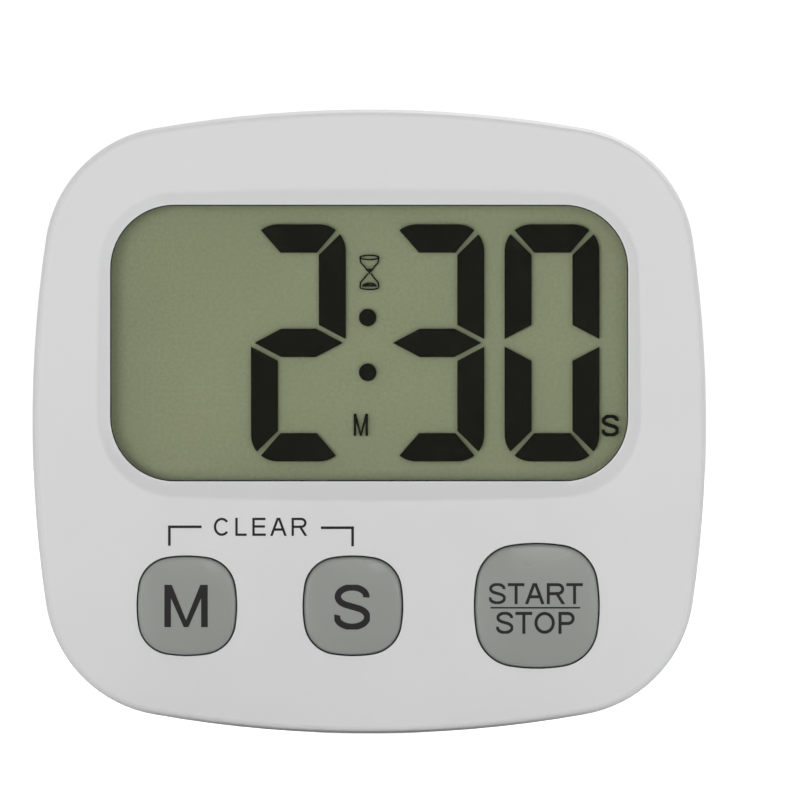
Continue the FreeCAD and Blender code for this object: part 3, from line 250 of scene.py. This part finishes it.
def add_stroke(shape, points, width):
    """Add a flat stroke of even width along a line of points in the X-Z plane."""
    closed = (Vector(points[0]) - Vector(points[-1])).length < 1e-6
    sides = []
    for i, point in enumerate(points):
        before = points[i - 1] if i else (points[-2] if closed else point)
        after = points[i + 1] if i + 1 < len(points) else (points[1] if closed else point)
        arriving = (Vector(point) - Vector(before)).normalized()
        leaving = (Vector(after) - Vector(point)).normalized()
        along = (arriving + leaving).normalized()
        mitre = width / 2 / max(0.5, along.dot(leaving if leaving.length else arriving))
        off = Vector((-along.y, along.x)) * mitre
        ends = (Vector(point) + off, Vector(point) - off)
        sides.append([shape.verts.new((end.x, 0, end.y)) for end in ends])
    faces = []
    for (a, b), (c, d) in zip(sides, sides[1:]):
        faces.append(shape.faces.new((a, b, d, c)))
    return faces


def add_word(shape, word, low_x, high_x, low_z, high_z, spacing=0.0, stem_wide=STEM):
    """Add a word in plain capitals that exactly fill a rectangle given in millimetres."""
    letters = bmesh.new()
    reach = 0.0
    for i, letter in enumerate(word):
        wide, before, after = LETTER_SPACES[letter]
        start = reach + before if i else 0.0
        one = bmesh.new()
        for order, line in enumerate(letter_lines(letter, stem_wide)):
            for face in add_stroke(one, line, stem_wide):
                for vert in face.verts:
                    vert.co.y = -order * STROKE_STEP
        for across, up in ((-1, 0), (1, 0), (0, -1), (0, 1)):
            at = (wide if across > 0 else 0, 0, 1 if up > 0 else 0)
            everything = one.verts[:] + one.edges[:] + one.faces[:]
            bmesh.ops.bisect_plane(one, geom=everything, plane_co=at, plane_no=(across, 0, up),
                                   clear_outer=True)
        bmesh.ops.translate(one, vec=(start, 0, 0), verts=one.verts)
        mesh = bpy.data.meshes.new(letter)
        one.to_mesh(mesh)
        one.free()
        letters.from_mesh(mesh)
        reach = start + wide + after + spacing
    word_end = start + wide
    for vert in letters.verts:
        across = low_x + vert.co.x / word_end * (high_x - low_x)
        vert.co = Vector((across, vert.co.y, low_z + vert.co.z * (high_z - low_z))) * MM
    mesh = bpy.data.meshes.new(word)
    letters.to_mesh(mesh)
    letters.free()
    shape.from_mesh(mesh)


def add_bar(shape, low_x, high_x, low_z, high_z):
    """Add a flat bar between two corners given in millimetres."""
    middle = Vector(((low_x + high_x) / 2, 0, (low_z + high_z) / 2)) * MM
    grid = bmesh.ops.create_grid(shape, x_segments=8, y_segments=1, size=0.5)
    size = Matrix.Diagonal((abs(high_x - low_x) * MM, abs(high_z - low_z) * MM, 1, 1))
    turn = Matrix.Rotation(radians(90), 4, "X")
    bmesh.ops.transform(shape, matrix=Matrix.Translation(middle) @ turn @ size, verts=grid["verts"])


def thicken(shape, depth, thickness):
    """Give flat printing its thickness and set it at a depth along Y."""
    bmesh.ops.remove_doubles(shape, verts=shape.verts, dist=WELD)
    grown = bmesh.ops.extrude_face_region(shape, geom=shape.faces[:])
    raised = [item for item in grown["geom"] if isinstance(item, bmesh.types.BMVert)]
    bmesh.ops.translate(shape, vec=(0, -thickness, 0), verts=raised)
    bmesh.ops.translate(shape, vec=(0, depth, 0), verts=shape.verts)


def bend_to_dome(shape, across, up, radius):
    """Cut flat printing into small squares and carry it back onto a domed surface about its middle."""
    for line in range(-BEND_LINES, BEND_LINES + 1):
        for way in ((1, 0, 0), (0, 0, 1)):
            place = Vector((across, 0, up)) + line * BEND_STEP * Vector(way)
            everything = shape.verts[:] + shape.edges[:] + shape.faces[:]
            bmesh.ops.bisect_plane(shape, geom=everything, plane_co=place, plane_no=way)
    for vert in shape.verts:
        vert.co.y += ((vert.co.x - across) ** 2 + (vert.co.z - up) ** 2) / (2 * radius)


face_print = bmesh.new()
add_word(face_print, "CLEAR", -17.47, -6.94, 22.34, 24.38, spacing=0.15, stem_wide=0.132)
add_bar(face_print, -22.62, -18.84, 23.21, 23.51)
add_bar(face_print, -22.62, -22.32, 21.23, 23.21)
add_bar(face_print, -5.43, -1.71, 23.11, 23.41)
add_bar(face_print, -2.01, -1.71, 21.16, 23.11)
thicken(face_print, FACE + INK / 2, INK)
bend_to_dome(face_print, 0, CASE_MIDDLE, DOME_RADIUS)
finish_piece("face_print", face_print, black_ink, "case")

# --- window lens and its adhesive ring ---
# A clear acrylic lens, laser cut, held against the back of the lip by a thin black adhesive ring.
# Light falls straight through it, so its shadow is left clear.


def clear_sheet(name, first, second, index):
    """A clear sheet, very slightly uneven in tint, that lets direct light through."""
    material, nodes, links, shader, grain = material_parts(name)
    tint = colour_between(nodes, links, grain.outputs["Cloud"], first, second)
    links.new(tint, shader.inputs["Base Color"])
    shader.inputs["Transmission Weight"].default_value = 1.0
    shader.inputs["Roughness"].default_value = 0.0
    shader.inputs["IOR"].default_value = index
    clear = nodes.new("ShaderNodeBsdfTransparent")
    links.new(tint, clear.inputs["Color"])
    path = nodes.new("ShaderNodeLightPath")
    mix = nodes.new("ShaderNodeMixShader")
    links.new(path.outputs["Is Shadow Ray"], mix.inputs["Fac"])
    links.new(shader.outputs["BSDF"], mix.inputs[1])
    links.new(clear.outputs["BSDF"], mix.inputs[2])
    links.new(mix.outputs["Shader"], nodes["Material Output"].inputs["Surface"])
    return material


def thinned_copy(node, material):
    """A copy of a clear sheet, a hair thinner than the CAD node so that no two clear faces coincide."""
    piece = finished_copy(node, "case", material)
    low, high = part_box(node)
    for vert in piece.data.vertices:
        vert.co.y += SHEET_AIR if vert.co.y < (low.y + high.y) / 2 else -SHEET_AIR
    return piece


SHEET_AIR = 0.01 * MM
clear_acrylic = clear_sheet("clear_acrylic", (1.0, 1.0, 1.0), (0.995, 0.998, 0.998), 1.3)
thinned_copy("display_window", clear_acrylic)
dress("window_tape", moulded("foam_tape", (0.02, 0.02, 0.02), (0.035, 0.035, 0.035), 0.85, 3000.0, 0.02))

# --- display glasses ---
# Two sheets of float glass with a hair's gap between them, glued round their border with epoxy,
# and a thin green-grey polarising film on the front one.
float_glass = clear_sheet("float_glass", (0.985, 0.99, 0.98), (0.98, 0.988, 0.976), 1.02)
thinned_copy("front_glass", float_glass)
thinned_copy("rear_glass", float_glass)
polarising_film = clear_sheet("polarising_film", (0.97, 0.98, 0.95), (0.965, 0.975, 0.942), 1.02)
thinned_copy("front_polariser", polarising_film)
dress("glass_seal", moulded("epoxy_seal", (0.10, 0.10, 0.09), (0.14, 0.14, 0.12), 0.5, 2500.0, 0.01))

# --- display segments ---
# The dark shapes stand in the liquid crystal between the two glasses. The cell shows 2:30,
# a colon, an hourglass and the small letters for minutes and seconds.
SEGMENTS_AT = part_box("glass_seal")[0].y + 0.06 * MM
SEGMENT_SKIN = 0.03 * MM
DIGIT_WIDE, DIGIT_TALL = 10.68, 26.70
DIGIT_LOW = 30.70
STROKE_WIDE, STROKE_TALL = 3.04, 3.20
CORNER = 3.0
MITRE = 6.0


def arc_points(centre_x, centre_z, first, last, steps=6):
    """Points along the rounded outer corner of a digit, from one angle to another in degrees."""
    angles = [radians(first + (last - first) * step / steps) for step in range(steps + 1)]
    return [(centre_x + CORNER * cos(angle), centre_z + CORNER * sin(angle)) for angle in angles]


def top_stroke():
    """The outline of a digit's top stroke, mitred and rounded at both ends."""
    high = DIGIT_TALL - CORNER
    left = arc_points(CORNER, high, 135 - MITRE, 90)
    right = arc_points(DIGIT_WIDE - CORNER, high, 90, 45 + MITRE)
    inner = DIGIT_TALL - STROKE_TALL
    return left + right + [(DIGIT_WIDE - STROKE_WIDE - 0.22, inner), (STROKE_WIDE + 0.28, inner)]


def upper_right_stroke():
    """The outline of a digit's upper right stroke, down to its slanted lower end."""
    middle = DIGIT_TALL / 2
    arc = arc_points(DIGIT_WIDE - CORNER, DIGIT_TALL - CORNER, 45 - MITRE, 0)
    inner = DIGIT_WIDE - STROKE_WIDE
    return arc + [(DIGIT_WIDE, middle + 0.42), (inner, middle + 2.02),
                  (inner, DIGIT_TALL - STROKE_TALL - 0.24)]


def middle_stroke():
    """The outline of a digit's middle stroke, pointed at both ends."""
    middle, half = DIGIT_TALL / 2, STROKE_TALL / 2
    return [(0.37, middle), (3.40, middle + half), (DIGIT_WIDE - 3.38, middle + half),
            (DIGIT_WIDE - 0.33, middle), (DIGIT_WIDE - 3.38, middle - half), (3.40, middle - half)]


def mirrored(points, across=False, up=False):
    """An outline turned over left to right, or top to bottom, or both."""
    return [(DIGIT_WIDE - x if across else x, DIGIT_TALL - z if up else z) for x, z in points]


STROKES = {
    "top": top_stroke(), "bottom": mirrored(top_stroke(), up=True), "middle": middle_stroke(),
    "upper_right": upper_right_stroke(), "lower_right": mirrored(upper_right_stroke(), up=True),
    "upper_left": mirrored(upper_right_stroke(), across=True),
    "lower_left": mirrored(upper_right_stroke(), across=True, up=True),
}
DIGITS = ((-13.31, ("top", "upper_right", "middle", "lower_left", "bottom")),
          (2.28, ("top", "upper_right", "middle", "lower_right", "bottom")),
          (15.24, ("top", "upper_right", "lower_right", "bottom", "lower_left", "upper_left")))


def add_outline(shape, points, low_x=0.0, low_z=0.0):
    """Add one flat face with an outline given in millimetres."""
    shape.faces.new([shape.verts.new(((low_x + x) * MM, 0, (low_z + z) * MM)) for x, z in points])


segments = bmesh.new()
for low_x, names in DIGITS:
    for name in names:
        add_outline(segments, STROKES[name], low_x, DIGIT_LOW)
for height in (46.90, 40.74):
    dot = bmesh.ops.create_circle(segments, cap_ends=True, segments=32, radius=0.99 * MM)
    stand_up = Matrix.Translation((-0.17 * MM, 0, height * MM)) @ Matrix.Rotation(radians(90), 4, "X")
    bmesh.ops.transform(segments, matrix=stand_up, verts=dot["verts"])
add_word(segments, "M", -1.75, -0.13, 33.58, 36.09, stem_wide=0.17)
add_word(segments, "S", 26.18, 28.08, 33.52, 35.95, stem_wide=0.17)


def add_line(points):
    """Add a thin drawn line of the hourglass through points given in millimetres."""
    add_stroke(icon, points, 0.17)


icon = bmesh.new()
GLASS_X, GLASS_LOW, GLASS_HIGH = 0.02, 50.03, 53.95
waist = (GLASS_LOW + GLASS_HIGH) / 2
add_line(oval(GLASS_X, GLASS_HIGH - 0.28, 1.05, 0.24))
add_line(oval(GLASS_X, GLASS_LOW + 0.28, 1.05, 0.24, 180, 360))
for side in (-1, 1):
    bulb = [(GLASS_X + side * 1.05, GLASS_HIGH - 0.3), (GLASS_X + side * 0.98, GLASS_HIGH - 0.85),
            (GLASS_X + side * 0.62, waist + 0.72), (GLASS_X + side * 0.16, waist + 0.12)]
    add_line(bulb)
    add_line([(x, 2 * waist - z) for x, z in bulb])
bmesh.ops.scale(icon, vec=(MM, MM, MM), verts=icon.verts)
icon_mesh = bpy.data.meshes.new("icon")
icon.to_mesh(icon_mesh)
icon.free()
segments.from_mesh(icon_mesh)
add_outline(segments, oval(GLASS_X, GLASS_LOW + 0.34, 0.85, 0.5, 0, 180, 12))
add_outline(segments, [(GLASS_X - 0.3, waist + 0.42), (GLASS_X + 0.3, waist + 0.42), (GLASS_X, waist - 0.3)])
thicken(segments, SEGMENTS_AT, SEGMENT_SKIN)
crystal_black = moulded("crystal_black", (0.0095, 0.0095, 0.0065), (0.0115, 0.0115, 0.008), 0.7, 3000.0, 0.0)
crystal_black.node_tree.nodes["Principled BSDF"].inputs["Specular IOR Level"].default_value = 0.02
finish_piece("display_segments", segments, crystal_black, "case")

# --- reflector ---
# A rear polariser with a matt aluminised film behind it. It gives the display its green-grey ground,
# and its fine grain shows as a faint mottle.


def reflector_film():
    """Green-grey film with a fine mottle and faint clouds."""
    material, nodes, links, shader, grain = material_parts("reflector_film")
    grain.inputs["Grain Scale"].default_value = 2600.0
    grain.inputs["Cloud Scale"].default_value = 90.0
    ground = colour_between(nodes, links, grain.outputs["Grain"],
                            (0.452, 0.463, 0.332), (0.505, 0.516, 0.373))
    tint = nodes.new("ShaderNodeMix")
    tint.data_type = "RGBA"
    tint.blend_type = "MULTIPLY"
    tint.inputs["Factor"].default_value = 1.0
    links.new(ground, tint.inputs[6])
    clouds = colour_between(nodes, links, grain.outputs["Cloud"], (0.97, 0.97, 0.97), (1, 1, 1))
    links.new(clouds, tint.inputs[7])
    links.new(tint.outputs[2], shader.inputs["Base Color"])
    shader.inputs["Roughness"].default_value = 0.75
    shader.inputs["Specular IOR Level"].default_value = 0.1
    return material


dress("reflector", reflector_film())

# --- display frame and contact strip ---
# A white moulded frame keeps the glasses in place. Below them a strip of layered rubber,
# squeezed between the ledge of the front glass and the board, carries every segment's signal.
frame_plastic = moulded("frame_plastic", (0.70, 0.70, 0.69), (0.74, 0.74, 0.73), 0.5, 3000.0, 0.01)
dress("display_frame", frame_plastic)


def layered_rubber():
    """Rubber with hair-thin conducting layers across it."""
    material, nodes, links, shader, grain = material_parts("layered_rubber")
    place = nodes.new("ShaderNodeTexCoord")
    layers = nodes.new("ShaderNodeTexWave")
    layers.bands_direction = "X"
    layers.inputs["Scale"].default_value = 1600.0
    links.new(place.outputs["Object"], layers.inputs["Vector"])
    links.new(colour_between(nodes, links, layers.outputs["Fac"], (0.03, 0.03, 0.03), (0.3, 0.32, 0.36)),
              shader.inputs["Base Color"])
    links.new(value_between(nodes, links, grain.outputs["Cloud"], 0.6, 0.75), shader.inputs["Roughness"])
    return material


dress("contact_strip", layered_rubber())

# --- buttons ---
# Three caps moulded in grey plastic with a satin gloss, each with a flange behind the case wall.
# Their letters are pad-printed in the same black ink as the face.
grey_cap = moulded("grey_cap", (0.279, 0.292, 0.268), (0.285, 0.298, 0.275), 0.30, 5200.0, 0.002, coat=0.1)
for key in ("minutes", "seconds", "start_stop"):
    finished_copy(f"{key}_button", f"{key}_key", grey_cap)

key_prints = {"minutes": bmesh.new(), "seconds": bmesh.new(), "start_stop": bmesh.new()}
CAP_DOME = 60 * MM
add_word(key_prints["minutes"], "M", -23.03, -18.15, 12.08, 16.84)
add_word(key_prints["seconds"], "S", -3.92, 0.09, 11.81, 16.86)
add_word(key_prints["start_stop"], "START", 13.47, 24.03, 14.67, 17.03)
add_word(key_prints["start_stop"], "STOP", 14.29, 23.11, 11.33, 13.80)
add_bar(key_prints["start_stop"], 13.64, 23.74, 14.17, 14.35)
for key, print_shape in key_prints.items():
    thicken(print_shape, FACE + INK / 2, INK)
    cap_low, cap_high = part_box(f"{key}_button")
    bend_to_dome(print_shape, (cap_low.x + cap_high.x) / 2, (cap_low.z + cap_high.z) / 2, CAP_DOME)
    finish_piece(f"{key}_print", print_shape, black_ink, f"{key}_key")

# --- rubber keypad ---
# A mat of pale silicone lies on the board. Under each button a thin skirt springs a plunger back,
# and the plunger carries a carbon pill that bridges two tracks when it is pressed.
silicone = moulded("silicone", (0.50, 0.51, 0.49), (0.56, 0.57, 0.55), 0.62, 2500.0, 0.01)
carbon = moulded("carbon_rubber", (0.012, 0.012, 0.013), (0.02, 0.02, 0.022), 0.7, 5000.0, 0.006)
dress("keypad_mat", silicone)
for key in key_prints:
    dress(f"{key}_skirt", silicone)
    dress(f"{key}_plunger", silicone)
    dress(f"{key}_pill", carbon)

# --- circuit board ---
# Green solder mask over copper tracks on glass-epoxy laminate, screwed to four posts of the front shell.
# The bare chip is under a drop of black resin; the clock crystal lies flat beside it.


def board_mask():
    """Solder mask with the tracks showing through it as a paler green."""
    material, nodes, links, shader, grain = material_parts("solder_mask")
    place = nodes.new("ShaderNodeTexCoord")
    swap = nodes.new("ShaderNodeMapping")
    swap.inputs["Rotation"].default_value = (radians(90), 0, 0)
    tracks = nodes.new("ShaderNodeTexBrick")
    tracks.inputs["Scale"].default_value = 190.0
    tracks.inputs["Mortar Size"].default_value = 0.03
    tracks.inputs["Color1"].default_value = (0.008, 0.075, 0.022, 1)
    tracks.inputs["Color2"].default_value = (0.010, 0.090, 0.028, 1)
    tracks.inputs["Mortar"].default_value = (0.03, 0.19, 0.06, 1)
    links.new(place.outputs["Object"], swap.inputs["Vector"])
    links.new(swap.outputs["Vector"], tracks.inputs["Vector"])
    links.new(tracks.outputs["Color"], shader.inputs["Base Color"])
    links.new(value_between(nodes, links, grain.outputs["Cloud"], 0.26, 0.36), shader.inputs["Roughness"])
    bump = nodes.new("ShaderNodeBump")
    bump.inputs["Distance"].default_value = 0.03 * MM
    links.new(tracks.outputs["Fac"], bump.inputs["Height"])
    links.new(bump.outputs["Normal"], shader.inputs["Normal"])
    return material


bright_nickel = moulded("bright_nickel", (0.60, 0.59, 0.56), (0.68, 0.67, 0.63), 0.24, 1800.0, 0.003,
                        metallic=1.0)
tin_solder = moulded("tin_solder", (0.50, 0.50, 0.50), (0.62, 0.62, 0.61), 0.28, 1500.0, 0.01, metallic=1.0)


def mottled_chip(name, body_colour, spread):
    """A ceramic chip with a finely mottled colour."""
    material, nodes, links, shader, grain = material_parts(name)
    links.new(colour_between(nodes, links, grain.outputs["Grain"], body_colour,
                             tuple(part * spread for part in body_colour)), shader.inputs["Base Color"])
    links.new(value_between(nodes, links, grain.outputs["Cloud"], 0.35, 0.5), shader.inputs["Roughness"])
    return material


dress("circuit_board", board_mask())
dress("chip_cover", moulded("chip_resin", (0.008, 0.008, 0.008), (0.014, 0.014, 0.014), 0.22, 1500.0, 0.01))
dress("clock_crystal", bright_nickel)
dress("chip_resistors", mottled_chip("resistor_ceramic", (0.03, 0.03, 0.035), 1.6))
dress("chip_capacitors", mottled_chip("capacitor_ceramic", (0.32, 0.21, 0.12), 1.2))
dress("solder_joints", tin_solder)

# --- leads ---
# Stranded copper in a glossy coloured sleeve: red and black from the battery contacts,
# a yellow pair from the buzzer. Both ends of each are soldered.
for lead, first, second in (("positive_lead", (0.36, 0.012, 0.01), (0.42, 0.018, 0.014)),
                            ("negative_lead", (0.012, 0.012, 0.013), (0.02, 0.02, 0.022)),
                            ("buzzer_leads", (0.55, 0.38, 0.03), (0.62, 0.44, 0.04))):
    dress(lead, moulded(f"{lead}_sleeve", first, second, 0.34, 2200.0, 0.004))

# --- buzzer ---
# A thin brass disc with a smaller silvered ceramic disc on it, glued by its rim to a ring
# inside the back shell, over the sound holes.
rolled_brass = moulded("rolled_brass", (0.62, 0.44, 0.17), (0.70, 0.50, 0.21), 0.3, 900.0, 0.003,
                       metallic=1.0)
silvered_ceramic = moulded("silvered_ceramic", (0.60, 0.59, 0.55), (0.66, 0.65, 0.61), 0.38, 1500.0, 0.004)
dress("buzzer_disc", rolled_brass)
dress("buzzer_ceramic", silvered_ceramic)

# --- back shell ---
# The flat back, moulded in the same white ABS. It holds the battery bay, the recess of the stand
# and the deep holes of the case screws.
finished_copy("back_shell", "case", white_abs)

# --- battery contacts ---
# Nickel-plated spring steel: a dimpled plate for the cell's nub and a plate with a coil
# for its flat end. A tab of each passes through the end wall of the bay.
for node in ("positive_contact", "negative_contact", "negative_spring"):
    finished_copy(node, "case", bright_nickel)

# --- battery cell ---
# One AAA cell: a steel can in a printed shrink sleeve, dark along its length with a copper-coloured
# band at the positive end, where the bare nub stands out.


def cell_sleeve():
    """The cell's sleeve, in bands along its length, with bare metal at both ends."""
    low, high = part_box("battery_cell")
    material, nodes, links, shader, grain = material_parts("cell_sleeve")
    place = nodes.new("ShaderNodeTexCoord")
    split = nodes.new("ShaderNodeSeparateXYZ")
    along = nodes.new("ShaderNodeMapRange")
    along.inputs["From Min"].default_value = low.x
    along.inputs["From Max"].default_value = high.x
    bands = nodes.new("ShaderNodeValToRGB")
    bands.color_ramp.interpolation = "CONSTANT"
    stops = ((0.0, (0.55, 0.55, 0.54)), (0.012, (0.02, 0.035, 0.06)), (0.70, (0.50, 0.27, 0.12)),
             (0.965, (0.55, 0.55, 0.54)))
    while len(bands.color_ramp.elements) < len(stops):
        bands.color_ramp.elements.new(1.0)
    for element, (at, colour) in zip(bands.color_ramp.elements, stops):
        element.position = at
        element.color = (*colour, 1)
    links.new(place.outputs["Object"], split.inputs["Vector"])
    links.new(split.outputs["X"], along.inputs["Value"])
    links.new(along.outputs["Result"], bands.inputs["Fac"])
    links.new(bands.outputs["Color"], shader.inputs["Base Color"])
    links.new(value_between(nodes, links, grain.outputs["Cloud"], 0.2, 0.3), shader.inputs["Roughness"])
    shader.inputs["Metallic"].default_value = 0.6
    return material


finished_copy("battery_cell", "case", cell_sleeve())

# --- battery door ---
# A flush door in the same white ABS, hooked under the case wall at one end
# and pulled up at the finger notch at the other.
finished_copy("battery_door", "battery_cover", white_abs)

# --- stand and magnets ---
# A flip-out leg in white ABS that snaps into the recess on two stub pins.
# Two sintered ferrite discs are glued flush into it.
finished_copy("stand", "stand_leg", white_abs)
ferrite = moulded("sintered_ferrite", (0.035, 0.035, 0.037), (0.055, 0.055, 0.058), 0.48, 3500.0, 0.01)
finished_copy("magnets", "stand_leg", ferrite)

# --- screws ---
# Zinc-plated self-tapping screws with cross recesses: four long ones hold the case together,
# four short ones hold the board.
zinc = moulded("zinc_plate", (0.42, 0.42, 0.43), (0.50, 0.50, 0.51), 0.33, 1600.0, 0.004, metallic=1.0)
for node in ("case_screws", "board_screws"):
    finished_copy(node, "case", zinc)

# --- studio ---
# A plain white floor and a white surround that only the camera sees. Other rays meet a fill that is dim
# straight in front and bright at the sides and back. Four soft boxes stand in front and one behind.
world = bpy.data.worlds.new("studio")
scene.world = world
world.use_nodes = True
sky, sky_links = world.node_tree.nodes, world.node_tree.links
fill = sky["Background"]
fill.inputs["Color"].default_value = (1, 1, 1, 1)
way = sky.new("ShaderNodeTexCoord")
parts_of_way = sky.new("ShaderNodeSeparateXYZ")
fill_ramp = sky.new("ShaderNodeMapRange")
for label, number in (("From Min", -0.95), ("From Max", -0.35), ("To Min", 0.10), ("To Max", 0.75)):
    fill_ramp.inputs[label].default_value = number
sky_links.new(way.outputs["Generated"], parts_of_way.inputs["Vector"])
sky_links.new(parts_of_way.outputs["Y"], fill_ramp.inputs["Value"])
sky_links.new(fill_ramp.outputs["Result"], fill.inputs["Strength"])
surround = sky.new("ShaderNodeBackground")
surround.inputs["Color"].default_value = (1, 1, 1, 1)
surround.inputs["Strength"].default_value = 1.05
ray = sky.new("ShaderNodeLightPath")
choose = sky.new("ShaderNodeMixShader")
sky_links.new(ray.outputs["Is Camera Ray"], choose.inputs["Fac"])
sky_links.new(fill.outputs["Background"], choose.inputs[1])
sky_links.new(surround.outputs["Background"], choose.inputs[2])
sky_links.new(choose.outputs["Shader"], sky["World Output"].inputs["Surface"])

floor_shape = bmesh.new()
bmesh.ops.create_circle(floor_shape, cap_ends=True, segments=96, radius=12.0)
floor_mesh = bpy.data.meshes.new("floor")
floor_shape.to_mesh(floor_mesh)
floor_shape.free()
floor = bpy.data.objects.new("floor", floor_mesh)
scene.collection.objects.link(floor)
floor.visible_shadow = False
floor_paper = bpy.data.materials.new("floor_paper")
floor_paper.use_nodes = True
floor_nodes, floor_links = floor_paper.node_tree.nodes, floor_paper.node_tree.links
paper = floor_nodes["Principled BSDF"]
paper.inputs["Base Color"].default_value = (0.8, 0.8, 0.8, 1)
paper.inputs["Roughness"].default_value = 0.9
paper.inputs["Specular IOR Level"].default_value = 0.0
glow = floor_nodes.new("ShaderNodeEmission")
seen = floor_nodes.new("ShaderNodeLightPath")
glow_strength = floor_nodes.new("ShaderNodeMath")
glow_strength.operation = "MULTIPLY"
glow_strength.inputs[1].default_value = 0.9
both = floor_nodes.new("ShaderNodeAddShader")
floor_links.new(seen.outputs["Is Camera Ray"], glow_strength.inputs[0])
floor_links.new(glow_strength.outputs["Value"], glow.inputs["Strength"])
floor_links.new(paper.outputs["BSDF"], both.inputs[0])
floor_links.new(glow.outputs["Emission"], both.inputs[1])
floor_links.new(both.outputs["Shader"], floor_nodes["Material Output"].inputs["Surface"])
floor_mesh.materials.append(floor_paper)

CENTRE = Vector((0, 0, CASE_MIDDLE))


def soft_box(name, across, depth, up, size, power):
    """A square soft light at a place in metres, aimed at the timer and unseen by the camera."""
    light = bpy.data.lights.new(name, "AREA")
    light.shape = "SQUARE"
    light.size = size
    light.energy = power
    lamp = bpy.data.objects.new(name, light)
    lamp.location = (across, depth, up)
    lamp.rotation_euler = (CENTRE - lamp.location).to_track_quat("-Z", "Y").to_euler()
    lamp.visible_camera = False
    scene.collection.objects.link(lamp)


soft_box("key_box", 0.06, -1.05, 0.34, 0.30, 1.0)
soft_box("left_box", -0.46, -0.90, 0.02, 0.40, 1.85)
soft_box("right_box", 0.46, -0.90, 0.0, 0.40, 1.65)
soft_box("low_box", 0.02, -0.45, -0.14, 0.20, 0.55)
soft_box("back_box", 0.3, 0.95, 0.75, 0.80, 3.0)

# The camera stands straight in front of the face, three metres away, with a long lens.
DISTANCE = 3.0
VIEW_WIDE = 91.08 * MM
camera_data = bpy.data.cameras.new("camera")
camera_data.sensor_width = 36.0
camera_data.lens = camera_data.sensor_width * DISTANCE / VIEW_WIDE
camera_data.clip_end = 100.0
camera = bpy.data.objects.new("camera", camera_data)
camera.location = (4.03 * MM, FACE - DISTANCE, CASE_MIDDLE + 1.86 * MM)
camera.rotation_euler = (radians(90), 0, 0)
scene.collection.objects.link(camera)
scene.camera = camera
scene.view_settings.view_transform = "Standard"
